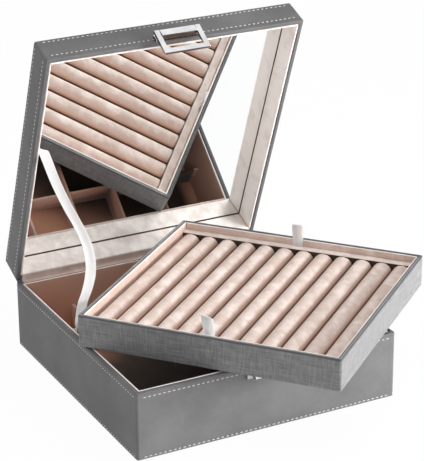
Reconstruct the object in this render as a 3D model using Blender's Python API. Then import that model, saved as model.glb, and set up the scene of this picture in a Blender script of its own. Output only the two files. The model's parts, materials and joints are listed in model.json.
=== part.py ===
"""Tiered jewelry box: a leather-covered hinged case with a lift-out ring tray.

Metres, +Z up, front towards -Y. The origin is the middle of the case's underside.
The case stands open with the lid leaning on its ribbon side, and the ring tray
lies turned across the rim, as such a box is laid out to show both tiers.
"""

import math

import bmesh
import bpy
from mathutils import Matrix, Vector

# Case, outside
BASE_WIDTH = 0.261
BASE_DEPTH = 0.267
BASE_HEIGHT = 0.0655
LID_HEIGHT = 0.0285
RIM_GAP = 0.0016
CORNER_RADIUS = 0.0022

# Wall layers of case and lid, from the outside in
LEATHER = 0.0007
BOARD = 0.0024
LINING = 0.0016
GAP = 0.0003
RIM_ROUND = 0.0013
TURN_IN = 0.0120
LINING_DROP = 0.0003

# Bottom of case and tray
FELT = 0.0005
FELT_INSET = 0.0030
FLANGE = 0.0120
FLOOR_BOARD = 0.0024
FLOOR_PAD = 0.0020

# Compartments in the case
DIVIDER = 0.0026
DIVIDER_HEIGHT = 0.0270
SMALL_CELLS = 5
CELL_DEPTH = 0.0510
LONG_WALL_CELLS = 2

# Lid
LID_OPEN = math.radians(68.5)
LID_TOP_ROUND = 0.0016
LID_TOP_BOARD = 0.0020
MIRROR = 0.0020
MIRROR_EDGE = 0.0006
MIRROR_REVEAL = 0.0007

# Living hinge along the back
HINGE_LEATHER_INSET = 0.0012
HINGE_LEATHER_DOWN = 0.0160
HINGE_LEATHER_UP = 0.0140
HINGE_CLOTH = 0.0003

# Clasp on the lid and catch on the case
CLASP_WIDTH = 0.0460
CLASP_BAR = 0.0050
CLASP_THICK = 0.0030
CLASP_REACH = 0.0246
CLASP_TOP = 0.0024
CLASP_END_ROUND = 0.0012
CLASP_PIVOT_OUT = 0.0063
CLASP_PIVOT_UP = 0.0066
CLASP_ROUND = 0.0007
CLASP_PLATE = 0.0030
CLASP_SIDE_GAP = 0.0003
BLOCK_OUT = 0.0080
PIN_RADIUS = 0.0008
PIN_CLEARANCE = 0.0002
PIN_SIDES = 16
CATCH_PLATE = 0.0012
CATCH_PLATE_HEIGHT = 0.0105
CATCH_OUT = 0.0060
CATCH_HEIGHT = 0.0070
CATCH_SLOPE = 0.0024
CATCH_CLEARANCE = 0.0010

# Lift-out ring tray
TRAY_LENGTH = 0.2474
TRAY_WIDTH = 0.2424
TRAY_RADIUS = 0.0022
TRAY_HEIGHT = 0.0310
TRAY_TURN = math.radians(-49.7)
TRAY_FROM_LEFT = 0.1665
TRAY_FROM_BACK = 0.1760
TRAY_LEATHER = 0.0006
TRAY_BOARD = 0.0020
TRAY_LINING = 0.0012
TRAY_FELT = 0.0005
TRAY_TURN_IN = 0.0055
LEDGE_WIDTH = 0.0085
LEDGE_DROP = 0.0068
LEDGE_ROUND = 0.0009

# Ring rolls in the tray
ROLLS = 12
ROLL_DROP = 0.0070
ROLL_SPACE = 0.0005
ROLL_END_ROUND = 0.0022
ROLL_STEPS = 14
ROLL_END_STEPS = 3
ROLL_BED_HEIGHT = 0.0040

# Ribbons
RIBBON = 0.0005
STAY_WIDTH = 0.0100
STAY_TAIL = 0.0060
STAY_TWIST = 0.0120
STAY_LID_OUT = 0.1625
STAY_LID_UP = 0.0195
STAY_BASE_BACK = 0.1225
STAY_BASE_DROP = 0.0113
STAY_SAMPLES = 44
TAB_WIDTH = 0.0105
TAB_FRONT_HEIGHT = 0.0180
TAB_FRONT_LEAN = 0.0060
TAB_FRONT_SWAY = -0.0055
TAB_BACK_HEIGHT = 0.0155
TAB_BACK_LEAN = 0.0008
TAB_BACK_SWAY = 0
TAB_BEND = 0.0010

# Steps in round corners, and how far a cutter runs past what it cuts
CORNER_STEPS = 4
ROUND_STEPS = 4
WALL_ROUND_SHARE = 0.9
OVERRUN = 0.0010

GREY_LEATHER = ("grey_leather", (0.215, 0.213, 0.215), 0.55, 0.0)
TRAY_LINEN = ("tray_linen", (0.235, 0.235, 0.240), 0.70, 0.0)
BOARD_BROWN = ("fibreboard", (0.36, 0.25, 0.16), 0.85, 0.0)
VELVET = ("velvet", (0.72, 0.60, 0.51), 0.90, 0.0)
FELT_BLACK = ("felt", (0.03, 0.03, 0.03), 0.95, 0.0)
MIRROR_GLASS = ("mirror_glass", (0.90, 0.92, 0.92), 0.03, 1.0)
CHROME = ("chrome", (0.80, 0.80, 0.82), 0.12, 1.0)
SATIN = ("satin", (0.86, 0.84, 0.82), 0.45, 0.0)

# Sizes worked out from the ones above
WRAP = 2 * (LEATHER + GAP) + BOARD
LINING_FACE = WRAP + GAP + LINING
FLANGE_LOW = FELT + GAP
BOARD_LOW = FLANGE_LOW + LEATHER + GAP
FLOOR_TOP = BOARD_LOW + FLOOR_BOARD
PAD_TOP = FLOOR_TOP + GAP + FLOOR_PAD
HINGE_OFFSET = GAP + LEATHER / 2
HINGE_Y = BASE_DEPTH / 2 + HINGE_OFFSET
HINGE_Z = BASE_HEIGHT + RIM_GAP / 2
RIM_LOW = RIM_GAP / 2
LID_TOP = RIM_LOW + LID_HEIGHT
LID_CENTRE_Y = -HINGE_OFFSET - BASE_DEPTH / 2
LID_FRONT_Y = -HINGE_OFFSET - BASE_DEPTH
CASE_CORNER = min(CORNER_RADIUS, LEATHER + GAP + WALL_ROUND_SHARE * BOARD)
TRAY_WRAP = 2 * (TRAY_LEATHER + GAP) + TRAY_BOARD
TRAY_FACE = TRAY_WRAP + GAP + TRAY_LINING
TRAY_FLANGE_LOW = TRAY_FELT + GAP
TRAY_BOARD_LOW = TRAY_FLANGE_LOW + TRAY_LEATHER + GAP
TRAY_FLOOR_TOP = TRAY_BOARD_LOW + TRAY_BOARD
TRAY_CORNER = min(TRAY_RADIUS, TRAY_LEATHER + GAP + WALL_ROUND_SHARE * TRAY_BOARD)
TRAY_X = TRAY_FROM_LEFT - BASE_WIDTH / 2
TRAY_Y = BASE_DEPTH / 2 - TRAY_FROM_BACK
TRAY_Z = BASE_HEIGHT + GAP + HINGE_CLOTH + GAP


def clear_scene():
    for item in list(bpy.data.objects):
        bpy.data.objects.remove(item, do_unlink=True)


def material(spec):
    name, colour, roughness, metallic = spec
    found = bpy.data.materials.get(name)
    if found:
        return found
    made = bpy.data.materials.new(name)
    made.use_nodes = True
    shader = made.node_tree.nodes["Principled BSDF"]
    shader.inputs["Base Color"].default_value = (*colour, 1.0)
    shader.inputs["Roughness"].default_value = roughness
    shader.inputs["Metallic"].default_value = metallic
    made.diffuse_color = (*colour, 1.0)
    return made


def piece(name, mesh, spec, parent=None, matrix=None):
    """Finish a bmesh as a named object with its material, under its body's empty."""
    if matrix is not None:
        bmesh.ops.transform(mesh, matrix=matrix, verts=mesh.verts)
    bmesh.ops.recalc_face_normals(mesh, faces=mesh.faces)
    data = bpy.data.meshes.new(name)
    mesh.to_mesh(data)
    mesh.free()
    data.materials.append(material(spec))
    data.shade_smooth()
    data.set_sharp_from_angle(angle=math.radians(35))
    item = bpy.data.objects.new(name, data)
    bpy.context.scene.collection.objects.link(item)
    item.parent = parent
    return item


def pivot(name, location, rotation=(0, 0, 0), parent=None):
    empty = bpy.data.objects.new(name, None)
    bpy.context.scene.collection.objects.link(empty)
    empty.location = location
    empty.rotation_euler = rotation
    empty.parent = parent
    return empty


def round_rectangle(width, depth, radius):
    """Corner arcs of a rectangle about the origin, anticlockwise, as (x, y) points."""
    radius = max(radius, GAP)
    points = []
    for turn, sx, sy in ((0, 1, 1), (1, -1, 1), (2, -1, -1), (3, 1, -1)):
        cx = sx * (width / 2 - radius)
        cy = sy * (depth / 2 - radius)
        for step in range(CORNER_STEPS + 1):
            angle = math.pi / 2 * (turn + step / CORNER_STEPS)
            points.append((cx + radius * math.cos(angle), cy + radius * math.sin(angle)))
    return points


def arc(centre, radius, start, end, steps=ROUND_STEPS):
    """Points on an arc in a profile plane, both ends included, angles in degrees."""
    points = []
    for step in range(steps + 1):
        angle = math.radians(start + (end - start) * step / steps)
        points.append((centre[0] + radius * math.cos(angle), centre[1] + radius * math.sin(angle)))
    return points


def sweep_round_rectangle(width, depth, radius, profile, centre_y=0.0, closed=True):
    """Run a profile of (inset, height) points round a rectangle with round corners.

    A closed profile gives a frame. An open one is capped at both ends.
    """
    mesh = bmesh.new()
    loops = []
    for inset, height in profile:
        outline = round_rectangle(width - 2 * inset, depth - 2 * inset, radius - inset)
        loops.append([mesh.verts.new((x, y + centre_y, height)) for x, y in outline])
    count = len(loops[0])
    pairs = len(loops) if closed else len(loops) - 1
    for index in range(pairs):
        first, second = loops[index], loops[(index + 1) % len(loops)]
        for corner in range(count):
            after = (corner + 1) % count
            mesh.faces.new((first[corner], first[after], second[after], second[corner]))
    if not closed:
        mesh.faces.new(loops[0])
        mesh.faces.new(loops[-1])
    return mesh


def block(low, high, radius=0.0, edges=None, steps=2):
    """A box between two corners, with the edges that run along one axis rounded."""
    mesh = bmesh.new()
    bmesh.ops.create_cube(mesh, size=1.0)
    size = Vector(high) - Vector(low)
    centre = (Vector(high) + Vector(low)) / 2
    bmesh.ops.scale(mesh, vec=size, verts=mesh.verts)
    bmesh.ops.translate(mesh, vec=centre, verts=mesh.verts)
    if radius > 0:
        chosen = [edge for edge in mesh.edges if edges is None or edges(edge)]
        bmesh.ops.bevel(mesh, geom=chosen, offset=radius, segments=steps, affect="EDGES",
                        profile=0.5)
    return mesh


def along(axis):
    """Pick the edges of a box that run along one axis, 0 for X to 2 for Z."""
    def test(edge):
        run = edge.verts[1].co - edge.verts[0].co
        return abs(run[axis]) > run.length * 0.9
    return test


def thick_path(points, thickness, low_x, high_x):
    """A strip between two X planes whose mid-line follows (y, z) points."""
    sides = []
    for index, point in enumerate(points):
        before = Vector(points[max(index - 1, 0)])
        after = Vector(points[min(index + 1, len(points) - 1)])
        here = Vector(point)
        first = (here - before).normalized() if index else (after - here).normalized()
        second = (after - here).normalized() if index < len(points) - 1 else first
        mean = (first + second).normalized()
        across = Vector((-mean.y, mean.x))
        widen = thickness / 2 / max(mean.dot(first), 0.5)
        sides.append((here + across * widen, here - across * widen))
    outline = [side[0] for side in sides] + [side[1] for side in reversed(sides)]
    mesh = bmesh.new()
    near = [mesh.verts.new((low_x, y, z)) for y, z in outline]
    far = [mesh.verts.new((high_x, y, z)) for y, z in outline]
    total = len(outline)
    half = total // 2
    for index in range(total):
        after = (index + 1) % total
        mesh.faces.new((near[index], near[after], far[after], far[index]))
    for side in (near, far):
        for index in range(half - 1):
            mesh.faces.new((side[index], side[index + 1],
                            side[total - 2 - index], side[total - 1 - index]))
    return mesh


def combine(target, tool_mesh, name, operation):
    """Join a second shape to an object, or cut it away, by a Boolean modifier."""
    tool = piece(name, tool_mesh, BOARD_BROWN, target.parent)
    tool.display_type = "WIRE"
    tool.hide_render = True
    modifier = target.modifiers.new(name, "BOOLEAN")
    modifier.operation = operation
    modifier.solver = "EXACT"
    modifier.object = tool


def cut(target, tool_mesh, name):
    combine(target, tool_mesh, name, "DIFFERENCE")


def wrap_profile(leather, board, turn_in, low, high):
    """Leather glued round a wall: under the bottom, up, over the rim and in again."""
    wrap = 2 * (leather + GAP) + board
    edge = 2 * leather
    profile = arc((edge, low + edge), edge, 270, 180, 2)
    profile += arc((RIM_ROUND, high - RIM_ROUND), RIM_ROUND, 180, 90)
    profile += arc((wrap - RIM_ROUND, high - RIM_ROUND), RIM_ROUND, 90, 0)
    profile += [(wrap, high - turn_in), (wrap - leather, high - turn_in)]
    profile += [(wrap - leather, high - leather), (leather, high - leather)]
    profile += [(leather, low + leather), (FLANGE, low + leather), (FLANGE, low)]
    return profile


def lining_profile(wrap, lining, low, high):
    """A folded strip of covered card with a soft round top edge."""
    outer = wrap + GAP
    inner = outer + lining
    half = lining / 2
    top = arc((outer + half, high - half), half, 180, 0, 4)
    return [(outer, low)] + top + [(inner, low)]


def wall_boards(prefix, size, layer, board, low, high, radius, parent=None, centre_y=0.0):
    """Four fibreboard walls, the two side ones butted between front and back."""
    width, depth = size
    out_x = width / 2 - layer
    out_y = depth / 2 - layer
    round_edge = radius - layer
    for name, side in (("front", -1), ("back", 1)):
        rows = sorted((side * out_y, side * (out_y - board)))
        mesh = block((-out_x, rows[0], low), (out_x, rows[1], high))
        outer = [edge for edge in mesh.edges
                 if along(2)(edge) and abs(edge.verts[0].co.y - side * out_y) < GAP]
        bmesh.ops.bevel(mesh, geom=outer, offset=round_edge, segments=3, affect="EDGES",
                        profile=0.5)
        shift = Matrix.Translation((0, centre_y, 0))
        piece(f"{prefix}_{name}", mesh, BOARD_BROWN, parent, shift)
    run_y = out_y - board - GAP
    for name, side in (("left", -1), ("right", 1)):
        cols = sorted((side * out_x, side * (out_x - board)))
        mesh = block((cols[0], -run_y + centre_y, low), (cols[1], run_y + centre_y, high))
        piece(f"{prefix}_{name}", mesh, BOARD_BROWN, parent)


def flat_sheet(name, size, radius, low, high, spec, parent=None, centre_y=0.0):
    """A flat sheet with round corners."""
    mesh = sweep_round_rectangle(size[0], size[1], radius, [(0, low), (0, high)],
                                 centre_y, closed=False)
    piece(name, mesh, spec, parent)


def cell_middle(index, inner, cells):
    """Middle line of the divider after a cell, counted from the left wall."""
    return -inner / 2 + inner * index / cells


def build_base():
    size = (BASE_WIDTH, BASE_DEPTH)
    profile = wrap_profile(LEATHER, BOARD, TURN_IN, FLANGE_LOW, BASE_HEIGHT)
    cover = sweep_round_rectangle(*size, CASE_CORNER, profile)
    piece("base_leather_cover", cover, GREY_LEATHER)
    felt_size = (BASE_WIDTH - 2 * FELT_INSET, BASE_DEPTH - 2 * FELT_INSET)
    flat_sheet("base_underside_felt", felt_size, CASE_CORNER, 0, FELT, FELT_BLACK)
    layer = LEATHER + GAP
    wall_boards("base_wall", size, layer, BOARD, BOARD_LOW, BASE_HEIGHT - layer, CASE_CORNER)
    inset = layer + BOARD + GAP
    floor_size = (BASE_WIDTH - 2 * inset, BASE_DEPTH - 2 * inset)
    flat_sheet("base_floor_board", floor_size, GAP, BOARD_LOW, FLOOR_TOP, BOARD_BROWN)
    profile = lining_profile(WRAP, LINING, FLOOR_TOP + GAP, BASE_HEIGHT - LINING_DROP)
    piece("base_lining", sweep_round_rectangle(*size, CASE_CORNER, profile), VELVET)
    inset = LINING_FACE + GAP
    pad_size = (BASE_WIDTH - 2 * inset, BASE_DEPTH - 2 * inset)
    flat_sheet("base_floor_pad", pad_size, GAP, FLOOR_TOP + GAP, PAD_TOP, VELVET)


def divider(name, axis, middle, ends, low, high):
    """A velvet-covered card wall with a round top, along X (axis 0) or Y (axis 1)."""
    half = DIVIDER / 2
    section = [(-half, low)] + arc((0, high - half), half, 180, 0, 4) + [(half, low)]
    mesh = bmesh.new()
    rows = []
    for end in ends:
        row = []
        for across, height in section:
            spot = (end, middle + across, height) if axis == 0 else (middle + across, end, height)
            row.append(mesh.verts.new(spot))
        rows.append(row)
    count = len(section)
    for index in range(count):
        after = (index + 1) % count
        mesh.faces.new((rows[0][index], rows[0][after], rows[1][after], rows[1][index]))
    mesh.faces.new(rows[0])
    mesh.faces.new(rows[1])
    return piece(name, mesh, VELVET)


def build_dividers():
    """Five small cells along the back, and one long wall from back to front."""
    inner_x = BASE_WIDTH - 2 * LINING_FACE
    inner_y = BASE_DEPTH - 2 * LINING_FACE
    low = PAD_TOP + GAP
    high = PAD_TOP + DIVIDER_HEIGHT
    lap = (low + high) / 2
    cross_y = inner_y / 2 - CELL_DEPTH - DIVIDER / 2
    reach_x = inner_x / 2 - GAP
    reach_y = inner_y / 2 - GAP
    slot = DIVIDER / 2 + GAP
    cross = divider("divider_cross", 0, cross_y, (-reach_x, reach_x), low, high)
    long_x = cell_middle(LONG_WALL_CELLS, inner_x, SMALL_CELLS)
    long_wall = divider("divider_long", 1, long_x, (-reach_y, reach_y), low, high)
    cut(cross, block((long_x - slot, cross_y - slot, lap),
                     (long_x + slot, cross_y + slot, high + OVERRUN)), "lap_cutter_cross")
    cut(long_wall, block((long_x - slot, cross_y - slot, low - OVERRUN),
                         (long_x + slot, cross_y + slot, lap + GAP)), "lap_cutter_long")
    for index in range(1, SMALL_CELLS):
        if index == LONG_WALL_CELLS:
            continue
        middle = cell_middle(index, inner_x, SMALL_CELLS)
        divider(f"divider_cell_{index}", 1, middle, (cross_y + slot, reach_y), low, high)


def extruded_x(outline, low_x, high_x):
    """A solid between two X planes from an outline of (y, z) points."""
    mesh = bmesh.new()
    ends = [[mesh.verts.new((x, y, z)) for y, z in outline] for x in (low_x, high_x)]
    for index in range(len(outline)):
        after = (index + 1) % len(outline)
        mesh.faces.new((ends[0][index], ends[0][after], ends[1][after], ends[1][index]))
    mesh.faces.new(ends[0])
    mesh.faces.new(ends[1])
    return mesh


def build_catch():
    """Casting on the case front: a plate, and a lug that the clasp loop hooks under."""
    wall = -BASE_DEPTH / 2 - GAP
    half_width = CLASP_WIDTH / 2
    low = HINGE_Z + CLASP_PIVOT_UP - (CLASP_REACH - CLASP_BAR) + CATCH_CLEARANCE
    plate = block((-half_width, wall - CATCH_PLATE, low),
                  (half_width, wall, low + CATCH_PLATE_HEIGHT), CLASP_ROUND, along(1), 3)
    casting = piece("catch_plate", plate, CHROME)
    nose = -BASE_DEPTH / 2 - CATCH_OUT
    high = low + CATCH_HEIGHT
    back = wall - CATCH_PLATE / 2
    outline = [(back, low), (back, high), (nose + CATCH_SLOPE, high)]
    outline += arc((nose + CLASP_ROUND, low + CLASP_ROUND), CLASP_ROUND, 180, 270, 3)
    half_lug = half_width - CLASP_BAR - CATCH_CLEARANCE
    combine(casting, extruded_x(outline, -half_lug, half_lug), "catch_lug_shape", "UNION")


def lid_profile():
    """Leather over the whole lid: top, sides, round the rim and up inside."""
    edge = LID_TOP_ROUND
    rim = RIM_LOW
    under = LID_TOP - LEATHER
    profile = arc((edge, LID_TOP - edge), edge, 90, 180)
    profile += arc((RIM_ROUND, rim + RIM_ROUND), RIM_ROUND, 180, 270)
    profile += arc((WRAP - RIM_ROUND, rim + RIM_ROUND), RIM_ROUND, 270, 360)
    profile += [(WRAP, rim + TURN_IN), (WRAP - LEATHER, rim + TURN_IN)]
    profile += [(WRAP - LEATHER, rim + LEATHER), (LEATHER, rim + LEATHER), (LEATHER, under)]
    return profile


def build_lid(lid):
    size = (BASE_WIDTH, BASE_DEPTH)
    cover = sweep_round_rectangle(*size, CASE_CORNER, lid_profile(), LID_CENTRE_Y, closed=False)
    piece("lid_leather_cover", cover, GREY_LEATHER, lid)
    layer = LEATHER + GAP
    top = LID_TOP - layer
    wall_boards("lid_wall", size, layer, BOARD, RIM_LOW + layer, top, CASE_CORNER, lid,
                LID_CENTRE_Y)
    inset = layer + BOARD + GAP
    board_size = (BASE_WIDTH - 2 * inset, BASE_DEPTH - 2 * inset)
    board_low = top - LID_TOP_BOARD
    flat_sheet("lid_top_board", board_size, GAP, board_low, top, BOARD_BROWN, lid, LID_CENTRE_Y)
    mirror_high = board_low - GAP
    mirror_low = mirror_high - MIRROR
    inset += MIRROR_EDGE
    mirror_size = (BASE_WIDTH - 2 * inset, BASE_DEPTH - 2 * inset)
    flat_sheet("lid_mirror", mirror_size, GAP, mirror_low, mirror_high, MIRROR_GLASS, lid,
               LID_CENTRE_Y)
    outer = WRAP + GAP
    half = LINING / 2
    rim = RIM_LOW + LINING_DROP
    profile = [(outer, mirror_low - MIRROR_REVEAL)]
    profile += arc((outer + half, rim + half), half, 180, 360, 4)
    profile += [(LINING_FACE, mirror_low - MIRROR_REVEAL)]
    lining = sweep_round_rectangle(*size, CASE_CORNER, profile, LID_CENTRE_Y)
    piece("lid_lining", lining, VELVET, lid)


def cylinder_x(radius, length, centre):
    mesh = bmesh.new()
    bmesh.ops.create_cone(mesh, cap_ends=True, segments=PIN_SIDES, radius1=radius,
                          radius2=radius, depth=length)
    turn = Matrix.Translation(centre) @ Matrix.Rotation(math.radians(90), 4, "Y")
    bmesh.ops.transform(mesh, matrix=turn, verts=mesh.verts)
    return mesh


def clasp_droop(plate_low):
    """Angle at which the loop's arms rest on the lower edge of the plate behind them."""
    out = CLASP_PIVOT_OUT - GAP - CLASP_PLATE
    down = CLASP_PIVOT_UP - plate_low
    reach = math.hypot(out, down)
    return math.acos((CLASP_THICK / 2 + GAP) / reach) - math.atan2(down, out)


def build_clasp(lid):
    """A casting on the lid front, and a loop that swings on a pin through it."""
    wall = LID_FRONT_Y - GAP
    axis_y = LID_FRONT_Y - CLASP_PIVOT_OUT
    centre = (0, axis_y, CLASP_PIVOT_UP)
    half_width = CLASP_WIDTH / 2
    inner = half_width - CLASP_BAR
    top = CLASP_PIVOT_UP + CLASP_TOP
    low = RIM_LOW + GAP
    plate = block((-half_width, wall - CLASP_PLATE, low), (half_width, wall, top),
                  CLASP_ROUND, along(1), 3)
    casting = piece("clasp_plate", plate, CHROME, lid)
    half_block = inner - CLASP_SIDE_GAP
    body = block((-half_block, LID_FRONT_Y - BLOCK_OUT, low), (half_block, wall - GAP, top),
                 CLASP_ROUND, along(0), 3)
    combine(casting, body, "clasp_block_shape", "UNION")
    bore = PIN_RADIUS + PIN_CLEARANCE
    cut(casting, cylinder_x(bore, CLASP_WIDTH + OVERRUN, centre), "pin_bore_cutter")
    piece("clasp_pin", cylinder_x(PIN_RADIUS, CLASP_WIDTH - GAP, centre), CHROME, lid)

    swing = pivot("clasp_swing", centre, (clasp_droop(low), 0, 0), lid)
    half_thick = CLASP_THICK / 2
    outline = [(-half_thick, -CLASP_REACH), (half_thick, -CLASP_REACH)]
    shoulder = half_thick - CLASP_END_ROUND
    outline += arc((shoulder, CLASP_TOP - CLASP_END_ROUND), CLASP_END_ROUND, 0, 90)
    outline += arc((-shoulder, CLASP_TOP - CLASP_END_ROUND), CLASP_END_ROUND, 90, 180)
    loop = extruded_x(outline, -half_width, half_width)
    bevelled = [edge for edge in loop.edges if max(v.co.z for v in edge.verts) < 0
                and (along(0)(edge) or along(1)(edge))]
    bmesh.ops.bevel(loop, geom=bevelled, offset=CLASP_ROUND, segments=3, affect="EDGES",
                    profile=0.5)
    loop_piece = piece("clasp_loop", loop, CHROME, swing)
    window = block((-inner, -CLASP_THICK, -CLASP_REACH + CLASP_BAR),
                   (inner, CLASP_THICK, CLASP_TOP + OVERRUN))
    cut(loop_piece, window, "loop_window_cutter")
    cut(loop_piece, cylinder_x(bore, CLASP_WIDTH + OVERRUN, (0, 0, 0)), "loop_bore_cutter")


def lid_to_world(out, up):
    """(y, z) of a lid point given as distance out from the hinge and up from the rim side."""
    y = HINGE_Y - out * math.cos(LID_OPEN) + up * math.sin(LID_OPEN)
    z = HINGE_Z + out * math.sin(LID_OPEN) + up * math.cos(LID_OPEN)
    return (y, z)


def build_hinge():
    """Leather strip glued over the back joint, and the cloth strip inside over both rims."""
    half = BASE_WIDTH / 2 - HINGE_LEATHER_INSET
    leather = [(HINGE_Y, HINGE_Z - HINGE_LEATHER_DOWN), (HINGE_Y, BASE_HEIGHT)]
    leather += [(HINGE_Y, HINGE_Z - GAP)]
    leather += [lid_to_world(0, GAP), lid_to_world(0, RIM_GAP), lid_to_world(0, HINGE_LEATHER_UP)]
    piece("hinge_leather_strip", thick_path(leather, LEATHER, -half, half), GREY_LEATHER)
    above = GAP + HINGE_CLOTH / 2
    inside = BASE_DEPTH / 2 - LINING_FACE
    rim_z = BASE_HEIGHT + above
    near = HINGE_OFFSET + RIM_GAP / 2
    far = LINING_FACE + HINGE_OFFSET
    under = RIM_LOW - above
    cloth = [(inside, rim_z), (BASE_DEPTH / 2 - RIM_GAP / 2, rim_z), (HINGE_Y - HINGE_OFFSET, rim_z)]
    cloth += [lid_to_world(near, under), lid_to_world(far, under)]
    half = BASE_WIDTH / 2 - LINING_FACE
    piece("hinge_cloth_strip", thick_path(cloth, HINGE_CLOTH, -half, half), VELVET)


def smooth_curve(points, count):
    """Even samples of a Catmull-Rom curve through the points."""
    padded = [2 * points[0] - points[1], *points, 2 * points[-1] - points[-2]]
    samples = []
    for index in range(count + 1):
        place = index / count * (len(points) - 1)
        part = min(int(place), len(points) - 2)
        t = place - part
        a, b, c, d = padded[part:part + 4]
        samples.append(0.5 * (2 * b + (c - a) * t + (2 * a - 5 * b + 4 * c - d) * t ** 2
                              + (3 * b - a - 3 * c + d) * t ** 3))
    return samples


# Bow of the slack ribbon stay, as shares of the straight line between its two ends:
# how far down that line, and how far out from it towards the front
STAY_SHARES = (
    (0.00, 0.000), (0.06, 0.025), (0.12, 0.053), (0.24, 0.108), (0.365, 0.190), (0.457, 0.268),
    (0.546, 0.332), (0.633, 0.346), (0.703, 0.309), (0.773, 0.222), (0.828, 0.132),
    (0.899, 0.059), (0.97, 0.012), (1.00, 0.000),
)


def ribbon_mesh(centres, widths, normals, width, thickness):
    """A flat strip through centres, with its width and face directions at each one."""
    mesh = bmesh.new()
    rings = []
    for centre, across, normal in zip(centres, widths, normals):
        side = across * (width / 2)
        face = normal * (thickness / 2)
        corners = (centre - side - face, centre + side - face,
                   centre + side + face, centre - side + face)
        rings.append([mesh.verts.new(corner) for corner in corners])
    for first, second in zip(rings, rings[1:]):
        for index in range(4):
            after = (index + 1) % 4
            mesh.faces.new((first[index], first[after], second[after], second[index]))
    mesh.faces.new(rings[0])
    mesh.faces.new(rings[-1])
    return mesh


def stay_route():
    """Middle line of the ribbon stay in its (y, z) plane, from lid wall to case wall."""
    upper = Vector((0, *lid_to_world(STAY_LID_OUT, STAY_LID_UP)))
    lower = Vector((0, BASE_DEPTH / 2 - STAY_BASE_BACK, BASE_HEIGHT - STAY_BASE_DROP))
    chord = lower - upper
    bow = Vector((0, chord.z, -chord.y))
    knots = [upper + chord * down + bow * out for down, out in STAY_SHARES]
    return smooth_curve(knots, STAY_SAMPLES)


def build_stay():
    """Satin ribbon on the left that stops the lid. Its glued ends lie flat on the walls."""
    wall_x = -BASE_WIDTH / 2 + LINING_FACE + GAP + RIBBON / 2
    clear_x = wall_x + STAY_WIDTH / 2 + GAP
    route = stay_route()
    lengths = [0.0]
    for before, after in zip(route, route[1:]):
        lengths.append(lengths[-1] + (after - before).length)
    total = lengths[-1]
    outward = Vector((1, 0, 0))
    centres, widths, normals = [], [], []
    for index, point in enumerate(route):
        before = route[max(index - 1, 0)]
        after = route[min(index + 1, len(route) - 1)]
        run = (after - before).normalized()
        from_end = min(lengths[index], total - lengths[index])
        share = min(max((from_end - STAY_TAIL) / STAY_TWIST, 0.0), 1.0)
        angle = math.pi / 2 * share
        flat = outward.cross(run).normalized()
        across = flat * math.cos(angle) + outward * math.sin(angle)
        x = wall_x + (clear_x - wall_x) * math.sin(angle)
        centres.append(Vector((x, point.y, point.z)))
        widths.append(across)
        normals.append(across.cross(run).normalized())
    piece("stay_ribbon", ribbon_mesh(centres, widths, normals, STAY_WIDTH, RIBBON), SATIN)


def tab_mesh(side, height, lean, sway):
    """A pull tab: one ribbon folded into a narrow loop, glued inside the tray wall."""
    seat = TRAY_WIDTH / 2 - TRAY_FACE - GAP - RIBBON / 2
    rim = TRAY_HEIGHT
    low = rim - LEDGE_DROP + GAP
    fold = rim + height - TAB_BEND
    middle = (rim + fold) / 2
    inner = seat - 2 * TAB_BEND
    path = [(seat, low), (seat, rim), (seat - lean / 2, middle)]
    path += arc((seat - TAB_BEND - lean, fold), TAB_BEND, 0, 180)
    path += [(inner - lean / 2, middle), (inner, rim), (inner, low)]
    path = [(side * y, z) for y, z in path]
    mesh = thick_path(path, RIBBON, -TAB_WIDTH / 2, TAB_WIDTH / 2)
    for vert in mesh.verts:
        vert.co.x += sway * max(vert.co.z - rim, 0) / height
    return mesh


def roll_mesh(radius, length, crest, low):
    """A foam roll in velvet: round on top, flat below, its ends rounded off."""
    mesh = bmesh.new()
    centre_z = crest - radius
    stations = []
    for step in range(ROLL_END_STEPS + 1):
        angle = math.pi / 2 * step / ROLL_END_STEPS
        stations.append((ROLL_END_ROUND * (1 - math.cos(angle)), ROLL_END_ROUND * math.sin(angle)))
    places = []
    for draw, run in reversed(stations):
        places.append((-length / 2 + ROLL_END_ROUND - run, draw))
    places += [(-place, draw) for place, draw in reversed(places)]
    rings = []
    for place, draw in places:
        small = radius - draw
        ring = [(-small, low)]
        ring += arc((0, centre_z), small, 180, 0, ROLL_STEPS)
        ring += [(small, low)]
        rings.append([mesh.verts.new((x, place, z)) for x, z in ring])
    count = len(rings[0])
    for first, second in zip(rings, rings[1:]):
        for index in range(count):
            after = (index + 1) % count
            mesh.faces.new((first[index], first[after], second[after], second[index]))
    mesh.faces.new(rings[0])
    mesh.faces.new(rings[-1])
    return mesh


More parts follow.
